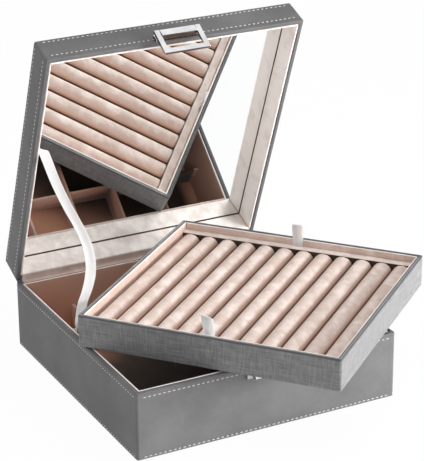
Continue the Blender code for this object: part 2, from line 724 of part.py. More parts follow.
def build_tray(tray):
    size = (TRAY_LENGTH, TRAY_WIDTH)
    high = TRAY_HEIGHT
    profile = wrap_profile(TRAY_LEATHER, TRAY_BOARD, TRAY_TURN_IN, TRAY_FLANGE_LOW, high)
    piece("tray_cover", sweep_round_rectangle(*size, TRAY_CORNER, profile), TRAY_LINEN, tray)
    felt_size = (TRAY_LENGTH - 2 * FELT_INSET, TRAY_WIDTH - 2 * FELT_INSET)
    flat_sheet("tray_underside_felt", felt_size, TRAY_CORNER, 0, TRAY_FELT, FELT_BLACK, tray)
    layer = TRAY_LEATHER + GAP
    wall_boards("tray_wall", size, layer, TRAY_BOARD, TRAY_BOARD_LOW, high - layer,
                TRAY_CORNER, tray)
    inset = layer + TRAY_BOARD + GAP
    floor_size = (TRAY_LENGTH - 2 * inset, TRAY_WIDTH - 2 * inset)
    flat_sheet("tray_floor_board", floor_size, GAP, TRAY_BOARD_LOW, TRAY_FLOOR_TOP,
               BOARD_BROWN, tray)
    profile = lining_profile(TRAY_WRAP, TRAY_LINING, TRAY_FLOOR_TOP + GAP, high - LINING_DROP)
    piece("tray_lining", sweep_round_rectangle(*size, TRAY_CORNER, profile), VELVET, tray)

    inner_x = TRAY_LENGTH - 2 * (TRAY_FACE + GAP)
    inner_y = TRAY_WIDTH - 2 * (TRAY_FACE + GAP)
    bed_low = TRAY_FLOOR_TOP + GAP
    bed_high = bed_low + ROLL_BED_HEIGHT
    flat_sheet("tray_foam_bed", (inner_x, inner_y), GAP, bed_low, bed_high, VELVET, tray)
    seat = bed_high + GAP
    for name, side in (("tray_ledge_front", -1), ("tray_ledge_back", 1)):
        rows = sorted((side * inner_y / 2, side * (inner_y / 2 - LEDGE_WIDTH)))
        ledge = block((-inner_x / 2, rows[0], seat), (inner_x / 2, rows[1], high - LEDGE_DROP),
                      LEDGE_ROUND, along(0))
        piece(name, ledge, VELVET, tray)
    pitch = inner_x / ROLLS
    length = inner_y - 2 * (LEDGE_WIDTH + GAP)
    for index in range(ROLLS):
        roll = roll_mesh((pitch - ROLL_SPACE) / 2, length, high - ROLL_DROP, seat)
        place = Matrix.Translation((pitch * (index + 0.5) - inner_x / 2, 0, 0))
        piece(f"ring_roll_{index + 1:02d}", roll, VELVET, tray, place)
    front_tab = tab_mesh(-1, TAB_FRONT_HEIGHT, TAB_FRONT_LEAN, TAB_FRONT_SWAY)
    piece("tray_tab_front", front_tab, SATIN, tray)
    back_tab = tab_mesh(1, TAB_BACK_HEIGHT, TAB_BACK_LEAN, TAB_BACK_SWAY)
    piece("tray_tab_back", back_tab, SATIN, tray)


def main():
    clear_scene()
    build_base()
    build_dividers()
    build_catch()
    lid = pivot("lid_pivot", (0, HINGE_Y, HINGE_Z), (-LID_OPEN, 0, 0))
    build_lid(lid)
    build_clasp(lid)
    build_hinge()
    build_stay()
    tray = pivot("tray_pivot", (TRAY_X, TRAY_Y, TRAY_Z), (0, 0, TRAY_TURN))
    build_tray(tray)
    bpy.context.view_layer.update()


main()
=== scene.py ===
import json
import math

import bmesh
import bpy
from mathutils import Matrix, Vector, noise
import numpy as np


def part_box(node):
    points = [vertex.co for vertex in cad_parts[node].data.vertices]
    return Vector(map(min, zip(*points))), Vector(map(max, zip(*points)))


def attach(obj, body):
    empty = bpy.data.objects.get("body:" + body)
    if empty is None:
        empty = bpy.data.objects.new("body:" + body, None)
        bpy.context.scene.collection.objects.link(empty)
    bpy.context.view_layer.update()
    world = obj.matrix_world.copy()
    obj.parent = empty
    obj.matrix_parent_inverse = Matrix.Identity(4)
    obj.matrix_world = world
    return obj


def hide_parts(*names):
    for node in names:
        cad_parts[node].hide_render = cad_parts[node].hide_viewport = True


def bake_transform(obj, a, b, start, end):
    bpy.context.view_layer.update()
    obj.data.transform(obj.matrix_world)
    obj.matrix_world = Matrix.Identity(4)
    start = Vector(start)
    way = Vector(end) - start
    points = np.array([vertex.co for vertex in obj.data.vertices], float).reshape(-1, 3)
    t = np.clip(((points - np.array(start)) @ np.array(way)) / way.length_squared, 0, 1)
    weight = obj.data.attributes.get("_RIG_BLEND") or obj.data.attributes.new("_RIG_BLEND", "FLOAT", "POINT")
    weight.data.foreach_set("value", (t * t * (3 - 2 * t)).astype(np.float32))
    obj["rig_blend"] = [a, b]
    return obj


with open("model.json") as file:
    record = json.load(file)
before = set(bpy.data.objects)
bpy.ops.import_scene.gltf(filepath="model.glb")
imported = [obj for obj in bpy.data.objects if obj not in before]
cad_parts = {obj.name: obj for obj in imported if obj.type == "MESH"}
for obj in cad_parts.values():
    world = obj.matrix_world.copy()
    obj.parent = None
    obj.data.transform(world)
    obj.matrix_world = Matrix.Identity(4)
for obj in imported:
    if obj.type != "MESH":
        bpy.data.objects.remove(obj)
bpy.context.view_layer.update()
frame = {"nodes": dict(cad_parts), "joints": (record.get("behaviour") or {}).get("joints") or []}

# Camera of the photograph: in front of the case, to its left and above it, looking down.
# It stands about 1.85 m away, so the walls converge as they do in the picture.
PHOTO_WIDE, PHOTO_HIGH = 424, 461
FOCAL_PIXELS = 1949.0
MIDDLE_PIXEL = (205.0, 218.8)
SENSOR = 36
EYE = (-0.7555, -1.4777, 0.8256)
EYE_RIGHT = Vector((0.88751, -0.46072, -0.0076))
EYE_DOWN = Vector((-0.17909, -0.3297, -0.92694))
EYE_AHEAD = Vector((0.42455, 0.82404, -0.37512))


def shown(name, data):
    item = bpy.data.objects.new(name, data)
    bpy.context.scene.collection.objects.link(item)
    return item


camera = shown("camera", bpy.data.cameras.new("camera"))
turn = Matrix((EYE_RIGHT, -EYE_DOWN, -EYE_AHEAD)).transposed().to_4x4()
camera.matrix_world = Matrix.Translation(EYE) @ turn
camera.data.sensor_width = SENSOR
camera.data.lens = FOCAL_PIXELS / PHOTO_HIGH * SENSOR
camera.data.shift_x = (PHOTO_WIDE / 2 - MIDDLE_PIXEL[0]) / PHOTO_HIGH
camera.data.shift_y = (MIDDLE_PIXEL[1] - PHOTO_HIGH / 2) / PHOTO_HIGH
camera.data.clip_start, camera.data.clip_end = 0.05, 60
bpy.context.scene.camera = camera
bpy.context.scene.view_settings.view_transform = "Standard"


# Pale studio: a white floor that keeps the box's shadow, a soft white room, one large
# softbox low on the right, and weaker ones overhead and on the left.
def sign(operation):
    """What a sign such as + does between two Wires, or a Wire and a number."""
    return lambda first, second: first.maths(operation, first, second)


class Wire:
    """A socket of a node tree. Sums on it add Math nodes, and node() adds any other."""

    def __init__(self, tree, socket=None):
        self.tree, self.socket = tree, socket

    def node(self, kind, sockets=None, out=0, **settings):
        made = self.tree.nodes.new(kind)
        for name, value in settings.items():
            setattr(made, name, value)
        for name, value in (sockets or {}).items():
            if isinstance(value, Wire):
                value.into(made.inputs[name])
            else:
                made.inputs[name].default_value = value
        return Wire(self.tree, made.outputs[out] if made.outputs else None)

    def into(self, socket):
        self.tree.links.new(self.socket, socket)

    def maths(self, operation, first, second=0.0):
        return self.node("ShaderNodeMath", {0: first, 1: second}, operation=operation)

    def xyz(self, *parts):
        return self.node("ShaderNodeCombineXYZ", dict(enumerate(parts)))

    def dot(self, way):
        sockets = {0: self, 1: way}
        return self.node("ShaderNodeVectorMath", sockets, "Value", operation="DOT_PRODUCT")

    def limit(self, low, high):
        """0 where the value is at low, 1 at high, and smooth between."""
        sockets = {"Value": self, "From Min": low, "From Max": high}
        return self.node("ShaderNodeMapRange", sockets, interpolation_type="SMOOTHSTEP")

    def mix(self, *ends):
        """The colour this far between two, each given as (r, g, b) or as a Wire."""
        dark, light = (end if isinstance(end, Wire) else (*end, 1) for end in ends)
        return self.node("ShaderNodeMix", {0: self, 6: dark, 7: light}, 2, data_type="RGBA")

    def __rsub__(self, other):
        return self.maths("SUBTRACT", other, self)

    __add__ = __radd__ = sign("ADD")
    __sub__, __mul__ = sign("SUBTRACT"), sign("MULTIPLY")
    __truediv__, __pow__ = sign("DIVIDE"), sign("POWER")


def seen_straight(wire):
    """1 for camera, mirror and glass rays, which show the studio as plain white."""
    seen = wire.node("ShaderNodeLightPath", out="Is Camera Ray")
    for ray in ("Is Glossy Ray", "Is Transmission Ray"):
        seen = wire.maths("MAXIMUM", seen, wire.node("ShaderNodeLightPath", out=ray))
    return seen


def plain_mesh(name, mesh):
    data = bpy.data.meshes.new(name)
    mesh.to_mesh(data)
    mesh.free()
    return data


ROOM_DIM, ROOM_BRIGHT = 0.48, 0.74
BRIGHT_SIDE = Vector((0.75, -0.30, 0.60)).normalized()
room = bpy.data.worlds.new("studio")
room.use_nodes = True
bpy.context.scene.world = room
wire = Wire(room.node_tree)
facing = wire.node("ShaderNodeTexCoord", out="Generated").dot(BRIGHT_SIDE)
room_level = facing.limit(-1.0, 1.0) * (ROOM_BRIGHT - ROOM_DIM) + ROOM_DIM
seen = seen_straight(wire)
backdrop = room.node_tree.nodes["Background"].inputs
(seen + (1 - seen) * room_level).into(backdrop["Strength"])
backdrop["Color"].default_value = (1, 1, 1, 1)

FLOOR_SIZE, FLOOR_DROP = 6, 0.0002
floor_finish = bpy.data.materials.new("floor")
floor_finish.use_nodes = True
wire = Wire(floor_finish.node_tree)
matt = wire.node("ShaderNodeBsdfDiffuse", {"Color": (0.88, 0.88, 0.88, 1)})
glow = wire.node("ShaderNodeEmission", {"Color": (1, 1, 1, 1), "Strength": 1.0})
wire.node("ShaderNodeMixShader", {0: seen_straight(wire) * 0.96, 1: matt, 2: glow}).into(
    floor_finish.node_tree.nodes["Material Output"].inputs["Surface"])
mesh = bmesh.new()
bmesh.ops.create_grid(mesh, x_segments=1, y_segments=1, size=FLOOR_SIZE)
bmesh.ops.translate(mesh, vec=(0, 0, -FLOOR_DROP), verts=mesh.verts)
floor = shown("floor", plain_mesh("floor", mesh))
floor.data.materials.append(floor_finish)


def softbox(name, place, aim, size, power, in_metal=True):
    lamp = bpy.data.lights.new(name, "AREA")
    lamp.shape = "RECTANGLE"
    lamp.size, lamp.size_y = size
    lamp.energy = power
    item = shown(name, lamp)
    item.location = place
    item.visible_glossy = in_metal
    item.rotation_mode = "QUATERNION"
    item.rotation_quaternion = (Vector(aim) - Vector(place)).to_track_quat("-Z", "Y")


softbox("softbox_right", (1.0, -0.80, 0.21), (0.05, -0.05, 0.04), (0.7, 0.38), 24.5)
softbox("softbox_top", (0.10, 0.10, 2.10), (0, 0, 0.1), (1.2, 1.2), 9, in_metal=False)
softbox("softbox_left", (-1.5, -0.7, 0.8), (0, 0, 0.15), (1.4, 1.2), 2, in_metal=False)


# Fibreboard walls, floors and lid panel: raw pressed board, cut to size and butted at
# the corners under the coverings. They show only where a cover is lifted off.
class Finish:
    """A material. What is the same all over it is set on its shader, the rest wired in."""

    def __init__(self, name, colour, roughness, metallic=0.0, place="object", **constants):
        self.name = name
        self.made = bpy.data.materials.new(name)
        self.made.use_nodes = True
        self.inputs = self.made.node_tree.nodes["Principled BSDF"].inputs
        constants.update(Base_Color=(*colour, 1), Roughness=roughness, Metallic=metallic)
        for key, value in constants.items():
            self.inputs[key.replace("_", " ")].default_value = value
        self.wire = Wire(self.made.node_tree)
        self.here = (self.wire.node("ShaderNodeTexCoord", out="Object") if place == "object"
                     else self.wire.node("ShaderNodeUVMap", uv_map=place))

    def noise(self, scale, detail=3.0, rough=0.55, turned=(0, 0, 0)):
        """Noise at one scale, or at one for each axis, which draws it into streaks."""
        place = self.here
        if isinstance(scale, tuple):
            sockets = {"Vector": place, "Scale": scale, "Rotation": turned}
            place, scale = self.wire.node("ShaderNodeMapping", sockets), 1.0
        return self.wire.node("ShaderNodeTexNoise", {
            "Vector": place, "Scale": scale, "Detail": detail, "Roughness": rough}, "Fac")

    def bands(self, way, scale, distortion, **more):
        more = {key.replace("_", " "): value for key, value in more.items()}
        return self.wire.node("ShaderNodeTexWave", {
            "Vector": self.here, "Scale": scale, "Distortion": distortion, **more}, "Fac",
            bands_direction=way)

    def marked(self, attribute):
        return self.wire.node("ShaderNodeAttribute", None, "Fac", attribute_name=attribute)

    def colour(self, factor, dark, light):
        factor.mix(dark, light).into(self.inputs["Base Color"])

    def rough(self, level):
        level.into(self.inputs["Roughness"])

    def bump(self, height, depth, strength):
        sockets = {"Height": height, "Distance": depth, "Strength": strength}
        self.wire.node("ShaderNodeBump", sockets).into(self.inputs["Normal"])

    def cover(self, node):
        """Give this finish to a solid of the frame that is seen as it is."""
        coats = frame["nodes"][node].data.materials
        coats.clear()
        coats.append(self.made)


fibreboard = Finish("fibreboard", (0.36, 0.25, 0.16), 0.85)
fibre = fibreboard.noise((260, 260, 900), 6.0, 0.7)
fibreboard.colour(fibre.limit(0.3, 0.75), (0.27, 0.18, 0.11), (0.45, 0.33, 0.22))
fibreboard.bump(fibre, 0.0003, 0.6)
for node in frame["nodes"]:
    if "_wall_" in node or node.endswith("_board"):
        fibreboard.cover(node)


# Felt under the case and under the tray: thin needled felt, glued on, so that neither
# scratches the table nor the lining below it.
felt = Finish("felt", (0.028, 0.028, 0.030), 0.95, Sheen_Weight=0.3)
matted = felt.noise((900, 420, 900), 7.0, 0.75)
felt.colour(matted.limit(0.3, 0.8), (0.018, 0.018, 0.020), (0.055, 0.055, 0.058))
felt.bump(matted, 0.0004, 0.8)
for node in ("base_underside_felt", "tray_underside_felt"):
    felt.cover(node)


# Case cover: grey leather glued round the four walls, turned under at the foot and over
# the rim, and pressed in along the two lines where it is sewn through the board.
CASE = (0.261, 0.267)
CASE_WIDTH, CASE_DEPTH, CASE_HEIGHT = *CASE, 0.0655
LEATHER = 0.0007
CASE_WRAP = 0.0044
CASE_CORNER = 0.0022
CASE_FOOT = 0.0008
CASE_SEAMS = (0.0030, 0.0605)
SEAM_DEPTH, SEAM_SIDE = 0.00028, 0.0012
TURN_IN, RIM_FOLD = 0.012, 0.0013
WEAR_REACH = 0.0034
CORNER_POINTS, CORNER_MARGIN = 7, 0.0009
LEAST_RADIUS = 0.00015
ARC_STEP = math.radians(15)
CAP_SIDES = 12


def soft_outline(points, step, closed=True):
    """An outline with round corners from (x, y, radius) points, cut every step or less."""
    spots = [Vector(point[:2]) for point in points]
    last = len(points) - 1
    made = []
    for index, spot in enumerate(spots):
        radius = points[index][2]
        corner = [spot]
        if radius and (closed or 0 < index < last):
            back = (spots[index - 1] - spot).normalized()
            ahead = (spots[(index + 1) % len(points)] - spot).normalized()
            opening = back.angle(ahead)
            centre = spot + (back + ahead).normalized() * (radius / math.sin(opening / 2))
            reach = radius / math.tan(opening / 2)
            first = spot + back * reach - centre
            bend = math.pi - opening
            if first.cross(spot + ahead * reach - centre) < 0:
                bend = -bend
            parts = max(1, round(abs(bend) / ARC_STEP))
            corner = [centre + Matrix.Rotation(bend * part / parts, 2) @ first
                      for part in range(parts + 1)]
        if made:
            made += between(made[-1], corner[0], step)
        made += corner
    if closed:
        made += between(made[-1], made[0], step)
    return made


def between(first, second, step):
    parts = math.ceil((second - first).length / step)
    return [first.lerp(second, part / parts) for part in range(1, parts)]


def round_loop(width, depth, radius, cuts):
    """Points round a rectangle with round corners."""
    loop = []
    for quarter, (sx, sy) in enumerate(((1, 1), (-1, 1), (-1, -1), (1, -1))):
        for part in range(CORNER_POINTS):
            angle = math.pi / 2 * (quarter + part / (CORNER_POINTS - 1))
            out = Vector((math.cos(angle), math.sin(angle)))
            centre = Vector((sx * (width / 2 - radius), sy * (depth / 2 - radius)))
            loop.append(centre + out * radius)
        side = (width if quarter % 2 == 0 else depth) - 2 * radius
        along = Vector((-out.y, out.x))
        start = loop[-1]
        stops = [side * part / cuts for part in range(1, cuts)]
        loop += [start + along * stop for stop in (CORNER_MARGIN, *stops, side - CORNER_MARGIN)]
    return loop


def run_lengths(points):
    """How far each point lies along the line through them."""
    lengths = [0.0]
    for point, after in zip(points, points[1:]):
        lengths.append(lengths[-1] + (after - point).length)
    return lengths


def skinned(mesh, rings, closed=False, ends=True, uv=None):
    """Faces from ring to ring, and over both ends. uv(step round, ring) gives UV 'run'."""
    run = mesh.loops.layers.uv.get("run")
    for row in range(len(rings) if closed else len(rings) - 1):
        near, far = rings[row], rings[(row + 1) % len(rings)]
        for index in range(len(near)):
            after = (index + 1) % len(near)
            face = mesh.faces.new((near[index], near[after], far[after], far[index]))
            if uv:
                for loop, (right, up) in zip(face.loops, ((0, 0), (1, 0), (1, 1), (0, 1))):
                    loop[run].uv = uv(index + right, row + up)
    if ends and not closed:
        mesh.faces.new(rings[0])
        mesh.faces.new(rings[-1])


def swept_frame(size, radius, profile, mark, closed=True, centre_y=0.0, cuts=46, kind="wear_and_painted_light"):
    """Run (inset, height) points round a rectangle. UV 'run' is in metres along and across.

    mark(inset, height, corner) gives the attribute of this kind at a point.
    """
    mesh = bmesh.new()
    mesh.loops.layers.uv.new("run")
    mark_layer = mesh.verts.layers.float.new(kind)
    rings = []
    for inset, height in profile:
        loop = round_loop(size[0] - 2 * inset, size[1] - 2 * inset,
                          max(radius - inset, LEAST_RADIUS), cuts)
        ring = [mesh.verts.new((point.x, point.y + centre_y, height)) for point in loop]
        for index, vert in enumerate(ring):
            vert[mark_layer] = mark(inset, height, index % (len(ring) // 4) < CORNER_POINTS)
        rings.append(ring)
    outer = round_loop(*size, radius, cuts)
    lengths, across = run_lengths(outer + outer[:1]), run_lengths(profile + profile[:1])
    skinned(mesh, rings, closed, uv=lambda right, up: (lengths[right], across[up]))
    return mesh


def uneven(mesh, amount, size, seed=0.0):
    """Push the surface in and out a little. The many-sided caps stay flat."""
    mesh.normal_update()
    flat = {vert for face in mesh.faces if len(face.verts) > CAP_SIDES for vert in face.verts}
    for vert in mesh.verts:
        if vert not in flat:
            spot = vert.co / size + Vector((seed, seed, seed))
            vert.co += vert.normal * (noise.noise(spot) * amount)


def made_piece(name, node, mesh, finish, body=None, place=Matrix(), sharp=40):
    """Turn a bmesh into a named piece that rides on its body in place of a solid."""
    bmesh.ops.transform(mesh, matrix=place, verts=mesh.verts)
    bmesh.ops.recalc_face_normals(mesh, faces=mesh.faces)
    data = plain_mesh(name, mesh)
    data.materials.append(finish.made)
    data.shade_smooth()
    data.set_sharp_from_angle(angle=math.radians(sharp))
    item = shown(name, data)
    if body:
        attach(item, body)
    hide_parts(node)
    return item


leather = Finish("grey_leather", (0.21, 0.208, 0.21), 0.5, Specular_IOR_Level=0.2)
pebble = leather.wire.node("ShaderNodeTexVoronoi", {"Vector": leather.here, "Scale": 1250.0},
                           "Distance", feature="DISTANCE_TO_EDGE").limit(0.0, 0.32)
pores = leather.noise(3200.0, 2.0)
cloudy = leather.noise(22.0, 4.0)
wear_and_painted_light_mark = leather.marked("wear_and_painted_light")
tone = cloudy.limit(0.25, 0.78) * 0.6 + leather.noise(260.0, 5.0, 0.65) * 0.4 - wear_and_painted_light_mark * 0.38
leather.colour(tone, (0.117, 0.115, 0.118), (0.191, 0.188, 0.190))
leather.rough(0.56 - pebble * 0.10 + cloudy * 0.10 - wear_and_painted_light_mark * 0.06)
leather.bump(pebble * 0.7 + pores * 0.3, 0.00009, 0.55)


def near_rim(height):
    """Wear that fades away from a rim at this height."""
    return lambda inset, z, corner: max(0.0, 1 - abs(z - height) / WEAR_REACH)


def sewn_wrap(flange, foot, rim, edge, seams, step, closed=True):
    """Profile of leather from foot to rim and inside, with a channel at each sewn line."""
    up = 1 if rim > foot else -1
    outline = [(flange, foot, 0), (0.0, foot, edge)]
    for seam in seams:
        outline += [(0.0, seam - up * SEAM_SIDE, 0.0008), (SEAM_DEPTH, seam, 0.0005),
                    (0.0, seam + up * SEAM_SIDE, 0.0008)]
    inner, back = CASE_WRAP - LEATHER, LEATHER + SEAM_DEPTH
    hem, under, over = rim - up * TURN_IN, rim - up * LEATHER, foot + up * LEATHER
    outline += [(0.0, rim, RIM_FOLD), (CASE_WRAP, rim, RIM_FOLD), (CASE_WRAP, hem, 0),
                (inner, hem, 0), (inner, under, 0.0006), (back, under, 0.0006),
                (back, over, 0), (flange, over, 0)]
    return soft_outline(outline, step, closed)


profile = sewn_wrap(0.012, CASE_FOOT, CASE_HEIGHT, 0.0009, CASE_SEAMS, 0.006)
cover = swept_frame(CASE, CASE_CORNER, profile, mark=near_rim(CASE_HEIGHT))
uneven(cover, 0.00012, 0.035)
made_piece("case_leather", "base_leather_cover", cover, leather, "base")


# Lock stitching on the case: two rows of off-white thread along its front and its sides,
# one under the rim and one at the foot. A stitch is an arch between two needle holes.
STITCH_PITCH = 0.0047
STITCH_LENGTH = 0.0030
STITCH_MARGIN = 0.0040
THREAD = 0.00035

thread = Finish("thread", (0.86, 0.84, 0.80), 0.55, Sheen_Weight=0.3)
twist = thread.bands("DIAGONAL", 700.0, 0.5)
thread.colour(twist * 0.6 + thread.noise(90.0) * 0.4, (0.60, 0.58, 0.55), (0.84, 0.83, 0.80))
thread.bump(twist, 0.00006, 0.7)

# Needle holes: small near-black discs at the stitch ends, painted shade for the holes.
needle_hole_shade = Finish("needle_hole_shade", (0.03, 0.029, 0.028), 0.8)
needle_hole_shade.colour(needle_hole_shade.noise(1500.0), (0.018, 0.017, 0.016), (0.050, 0.048, 0.046))


def new_tree(name, inputs):
    """A geometry tree with named inputs. Each one's value says what kind it is."""
    kinds = {int: "NodeSocketInt", float: "NodeSocketFloat", type(None): "NodeSocketMaterial"}
    tree = bpy.data.node_groups.new(name, "GeometryNodeTree")
    for key, value in inputs.items():
        kind = kinds[type(value)]
        socket = tree.interface.new_socket(name=key, in_out="INPUT", socket_type=kind)
        if value is not None:
            socket.default_value = value
    shape_kind = "NodeSocketGeometry"
    tree.interface.new_socket(name="Geometry", in_out="OUTPUT", socket_type=shape_kind)
    entry = tree.nodes.new("NodeGroupInput")
    return Wire(tree), {key: Wire(tree, entry.outputs[key]) for key in inputs}


def end_tree(wire, parts):
    """Close a tree: each (geometry, material) is realized, coloured and joined."""
    join = wire.tree.nodes.new("GeometryNodeJoinGeometry")
    for shape, finish in parts:
        real = wire.node("GeometryNodeRealizeInstances", {"Geometry": shape})
        wire.node("GeometryNodeSetMaterial",
                  {"Geometry": real, "Material": finish}).into(join.inputs[0])
    leave = wire.tree.nodes.new("NodeGroupOutput")
    wire.tree.links.new(join.outputs[0], leave.inputs["Geometry"])


def grow(mesh, wire, values, place=Matrix()):
    """Run a geometry tree with these inputs, and add what it makes to a bmesh."""
    host = shown("host", bpy.data.meshes.new("host"))
    modifier = host.modifiers.new("grow", "NODES")
    modifier.node_group = wire.tree
    for item in wire.tree.interface.items_tree:
        if item.in_out == "INPUT" and item.name in values:
            modifier[item.identifier] = values[item.name]
    bpy.context.view_layer.update()
    evaluated = host.evaluated_get(bpy.context.evaluated_depsgraph_get())
    made = bpy.data.meshes.new_from_object(evaluated)
    host.modifiers.remove(modifier)
    bpy.data.objects.remove(host)
    made.transform(place)
    mesh.from_mesh(made)
    finishes = list(made.materials)
    bpy.data.meshes.remove(made)
    return finishes


sewing, given = new_tree("sewn_row", {
    "Stitches": 50, "Pitch": STITCH_PITCH, "Length": STITCH_LENGTH, "Radius": THREAD, "Seed": 1,
    "Thread": None, "Hole_shade": None})
half, thick = given["Length"] / 2, given["Radius"]
arch = sewing.node("GeometryNodeCurveQuadraticBezier", {
    "Resolution": 7, "Start": sewing.xyz(half * -1, 0.0, thick * -0.9),
    "Middle": sewing.xyz(0.0, 0.0, thick * 1.3), "End": sewing.xyz(half, 0.0, thick * -0.9)})
circle = sewing.node("GeometryNodeCurvePrimitiveCircle", {"Resolution": 7, "Radius": thick})
strand = sewing.node("GeometryNodeCurveToMesh", {
    "Curve": arch, "Profile Curve": circle, "Fill Caps": True})
strand = sewing.node("GeometryNodeSetShadeSmooth", {"Geometry": strand})
row = sewing.node("GeometryNodeMeshLine", {
    "Count": given["Stitches"], "Offset": sewing.xyz(given["Pitch"])})
lean = sewing.node("FunctionNodeRandomValue", {2: 0.02, 3: 0.13, "Seed": given["Seed"]}, 1,
                   data_type="FLOAT")
stitches = sewing.node("GeometryNodeInstanceOnPoints", {
    "Points": row, "Instance": strand, "Rotation": sewing.xyz(0.0, 0.0, lean),
    "Scale": sewing.xyz(1.0 - lean * 0.6, 1.0, 1.0)})
shapes = [(stitches, given["Thread"])]
prick = sewing.node("GeometryNodeMeshCircle", {"Vertices": 8, "Radius": thick * 1.25},
                    fill_type="NGON")
for side in (-1.0, 1.0):
    hole = sewing.node("GeometryNodeTransform", {
        "Geometry": prick, "Scale": (1.5, 1.0, 1.0),
        "Translation": sewing.xyz(half * side, 0.0, thick * 0.12)})
    holes = sewing.node("GeometryNodeInstanceOnPoints", {"Points": row, "Instance": hole})
    shapes.append((holes, given["Hole_shade"]))
end_tree(sewing, shapes)


def sewn_rows(name, body, heights, centre_y=0.0, place=Matrix()):
    """Stitch rows in the channels on the front and the sides, as one piece."""
    x, y = (length / 2 - SEAM_DEPTH for length in CASE)
    end_x, end_y = (length / 2 - STITCH_MARGIN for length in CASE)
    rows = []
    for z in heights:
        rows += [((-end_x, centre_y - y, z), (end_x, centre_y - y, z), (0, -1, 0)),
                 ((x, centre_y - end_y, z), (x, centre_y + end_y, z), (1, 0, 0)),
                 ((-x, centre_y + end_y, z), (-x, centre_y - end_y, z), (-1, 0, 0))]
    mesh = bmesh.new()
    for number, (start, end, out) in enumerate(rows):
        start, end, out = Vector(start), Vector(end), Vector(out)
        span = end - start
        count = int(span.length / STITCH_PITCH)
        slack = span.length - (count - 1) * STITCH_PITCH
        along = span.normalized()
        axes = Matrix((along, out.cross(along), out)).transposed().to_4x4()
        row_place = Matrix.Translation(start + along * slack / 2) @ axes
        inputs = {"Stitches": count, "Seed": number + 3, "Thread": thread.made,
                  "Hole_shade": needle_hole_shade.made}
        finishes = grow(mesh, sewing, inputs, row_place)
    bmesh.ops.transform(mesh, matrix=place, verts=mesh.verts)
    data = plain_mesh(name, mesh)
    for finish in finishes:
        data.materials.append(finish)
    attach(shown(name, data), body)


sewn_rows("case_stitching", "base", CASE_SEAMS)


# Case lining: suede-like velvet on card, one strip to a wall, mitred in the corners, its
# folded top edge standing just below the leather rim. The floor has a thin pad of its own.
CASE_LINING = 0.0016
GAP = 0.0003
LINING_FACE = CASE_WRAP + GAP + CASE_LINING + GAP
PAD_RINGS = 7
# Where the tray's painted shadow on the case's velvet starts, how it fades and slants, and how much it
# spares the side walls.
SHADOW_START, SHADOW_FADE, SHADOW_SLANT = 0.050, 0.070, 0.55
SHADOW_SIDE, SHADOW_LEFT = 0.0075, -0.13
SHADOW_LINING = 0.070

velvet = Finish("velvet", (0.78, 0.68, 0.61), 0.92, Sheen_Weight=0.55, Sheen_Roughness=0.45,
                Sheen_Tint=(1.0, 0.94, 0.90, 1), Specular_IOR_Level=0.25)
brushed = velvet.noise((95, 60, 95), 5.0, 0.62)
patches = velvet.noise(34.0)
fuzz = velvet.noise(2600.0, 2.0)
# Painted light and shade: the marked attribute makes the velvet paler below 0 and darker above 0, first to
# tan and then to near-black brown where shade falls. On the rolls it also carries the nap's own patchiness.
nap_and_painted_light = velvet.marked("nap_and_painted_light")
nap = brushed.limit(0.30, 0.72) * 0.55 + patches.limit(0.3, 0.7) * 0.30 + fuzz * 0.15
painted_nap_tone = (nap - nap_and_painted_light * 1.3).mix((0.62, 0.54, 0.495), (0.985, 0.935, 0.895))
painted_shade_tone = nap_and_painted_light.limit(0.84, 1.0).mix((0.58, 0.275, 0.165), (0.044, 0.027, 0.020))
velvet.colour(nap_and_painted_light, painted_nap_tone, painted_shade_tone)
velvet.rough(0.86 + brushed * 0.12)
velvet.bump(fuzz * 0.6 + brushed * 0.4, 0.00018, 0.5)


def lining_strip(wrap, lining, low, high):
    """Profile of a covered card with a soft folded top, standing inside a wall."""
    outer, inner = wrap + GAP, wrap + GAP + lining
    crown = lining * 0.47
    return soft_outline([(outer, low, 0.0002), (outer, high, crown), (inner, high, crown),
                         (inner, low + 0.0006, 0), (inner, low, 0.0002)], 0.005)


def painted_edge_light_and_wall_shade(rim, depth, least):
    """Painted highlight makes the folded top edge pale, and painted shade darkens the nap down a wall and in
    corners.
    """
    return lambda inset, z, corner: -0.4 if z > rim else min(
        1.0, least + 0.10 * min(1.0, (rim - z) / depth) + 0.75 * corner)


def painted_tray_shadow(mesh, start=SHADOW_START):
    """Painted shadow of the tray: the nap is coloured darker in the front half of the case, less so on the
    side walls.
    """
    dark = mesh.verts.layers.float["nap_and_painted_light"]
    for vert in mesh.verts:
        edge = SHADOW_START if vert.co.x < SHADOW_SIDE - CASE_WIDTH / 2 else start
        share = (edge - vert.co.y + SHADOW_SLANT * (vert.co.x - SHADOW_LEFT)) / SHADOW_FADE
        most = 0.25 if vert.co.x > CASE_WIDTH / 2 - SHADOW_SIDE else 1.0
        if vert[dark] > 0:
            vert[dark] += (1.0 - vert[dark]) * min(most, max(0.0, share))


foot, pad_high = (corner.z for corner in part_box("base_floor_pad"))
profile = lining_strip(CASE_WRAP, CASE_LINING, foot, CASE_HEIGHT - GAP)
# Painted light on the lining's folded top edge, painted shade down its walls and in its corners, and the
# tray's painted shadow in the front half.
lining = swept_frame(CASE, CASE_CORNER, profile, kind="nap_and_painted_light",
                     mark=painted_edge_light_and_wall_shade(CASE_HEIGHT - 0.0009, 0.050, 0.72))
uneven(lining, 0.00014, 0.028, 5.0)
painted_tray_shadow(lining, SHADOW_LINING)
made_piece("case_lining", "base_lining", lining, velvet, "base")


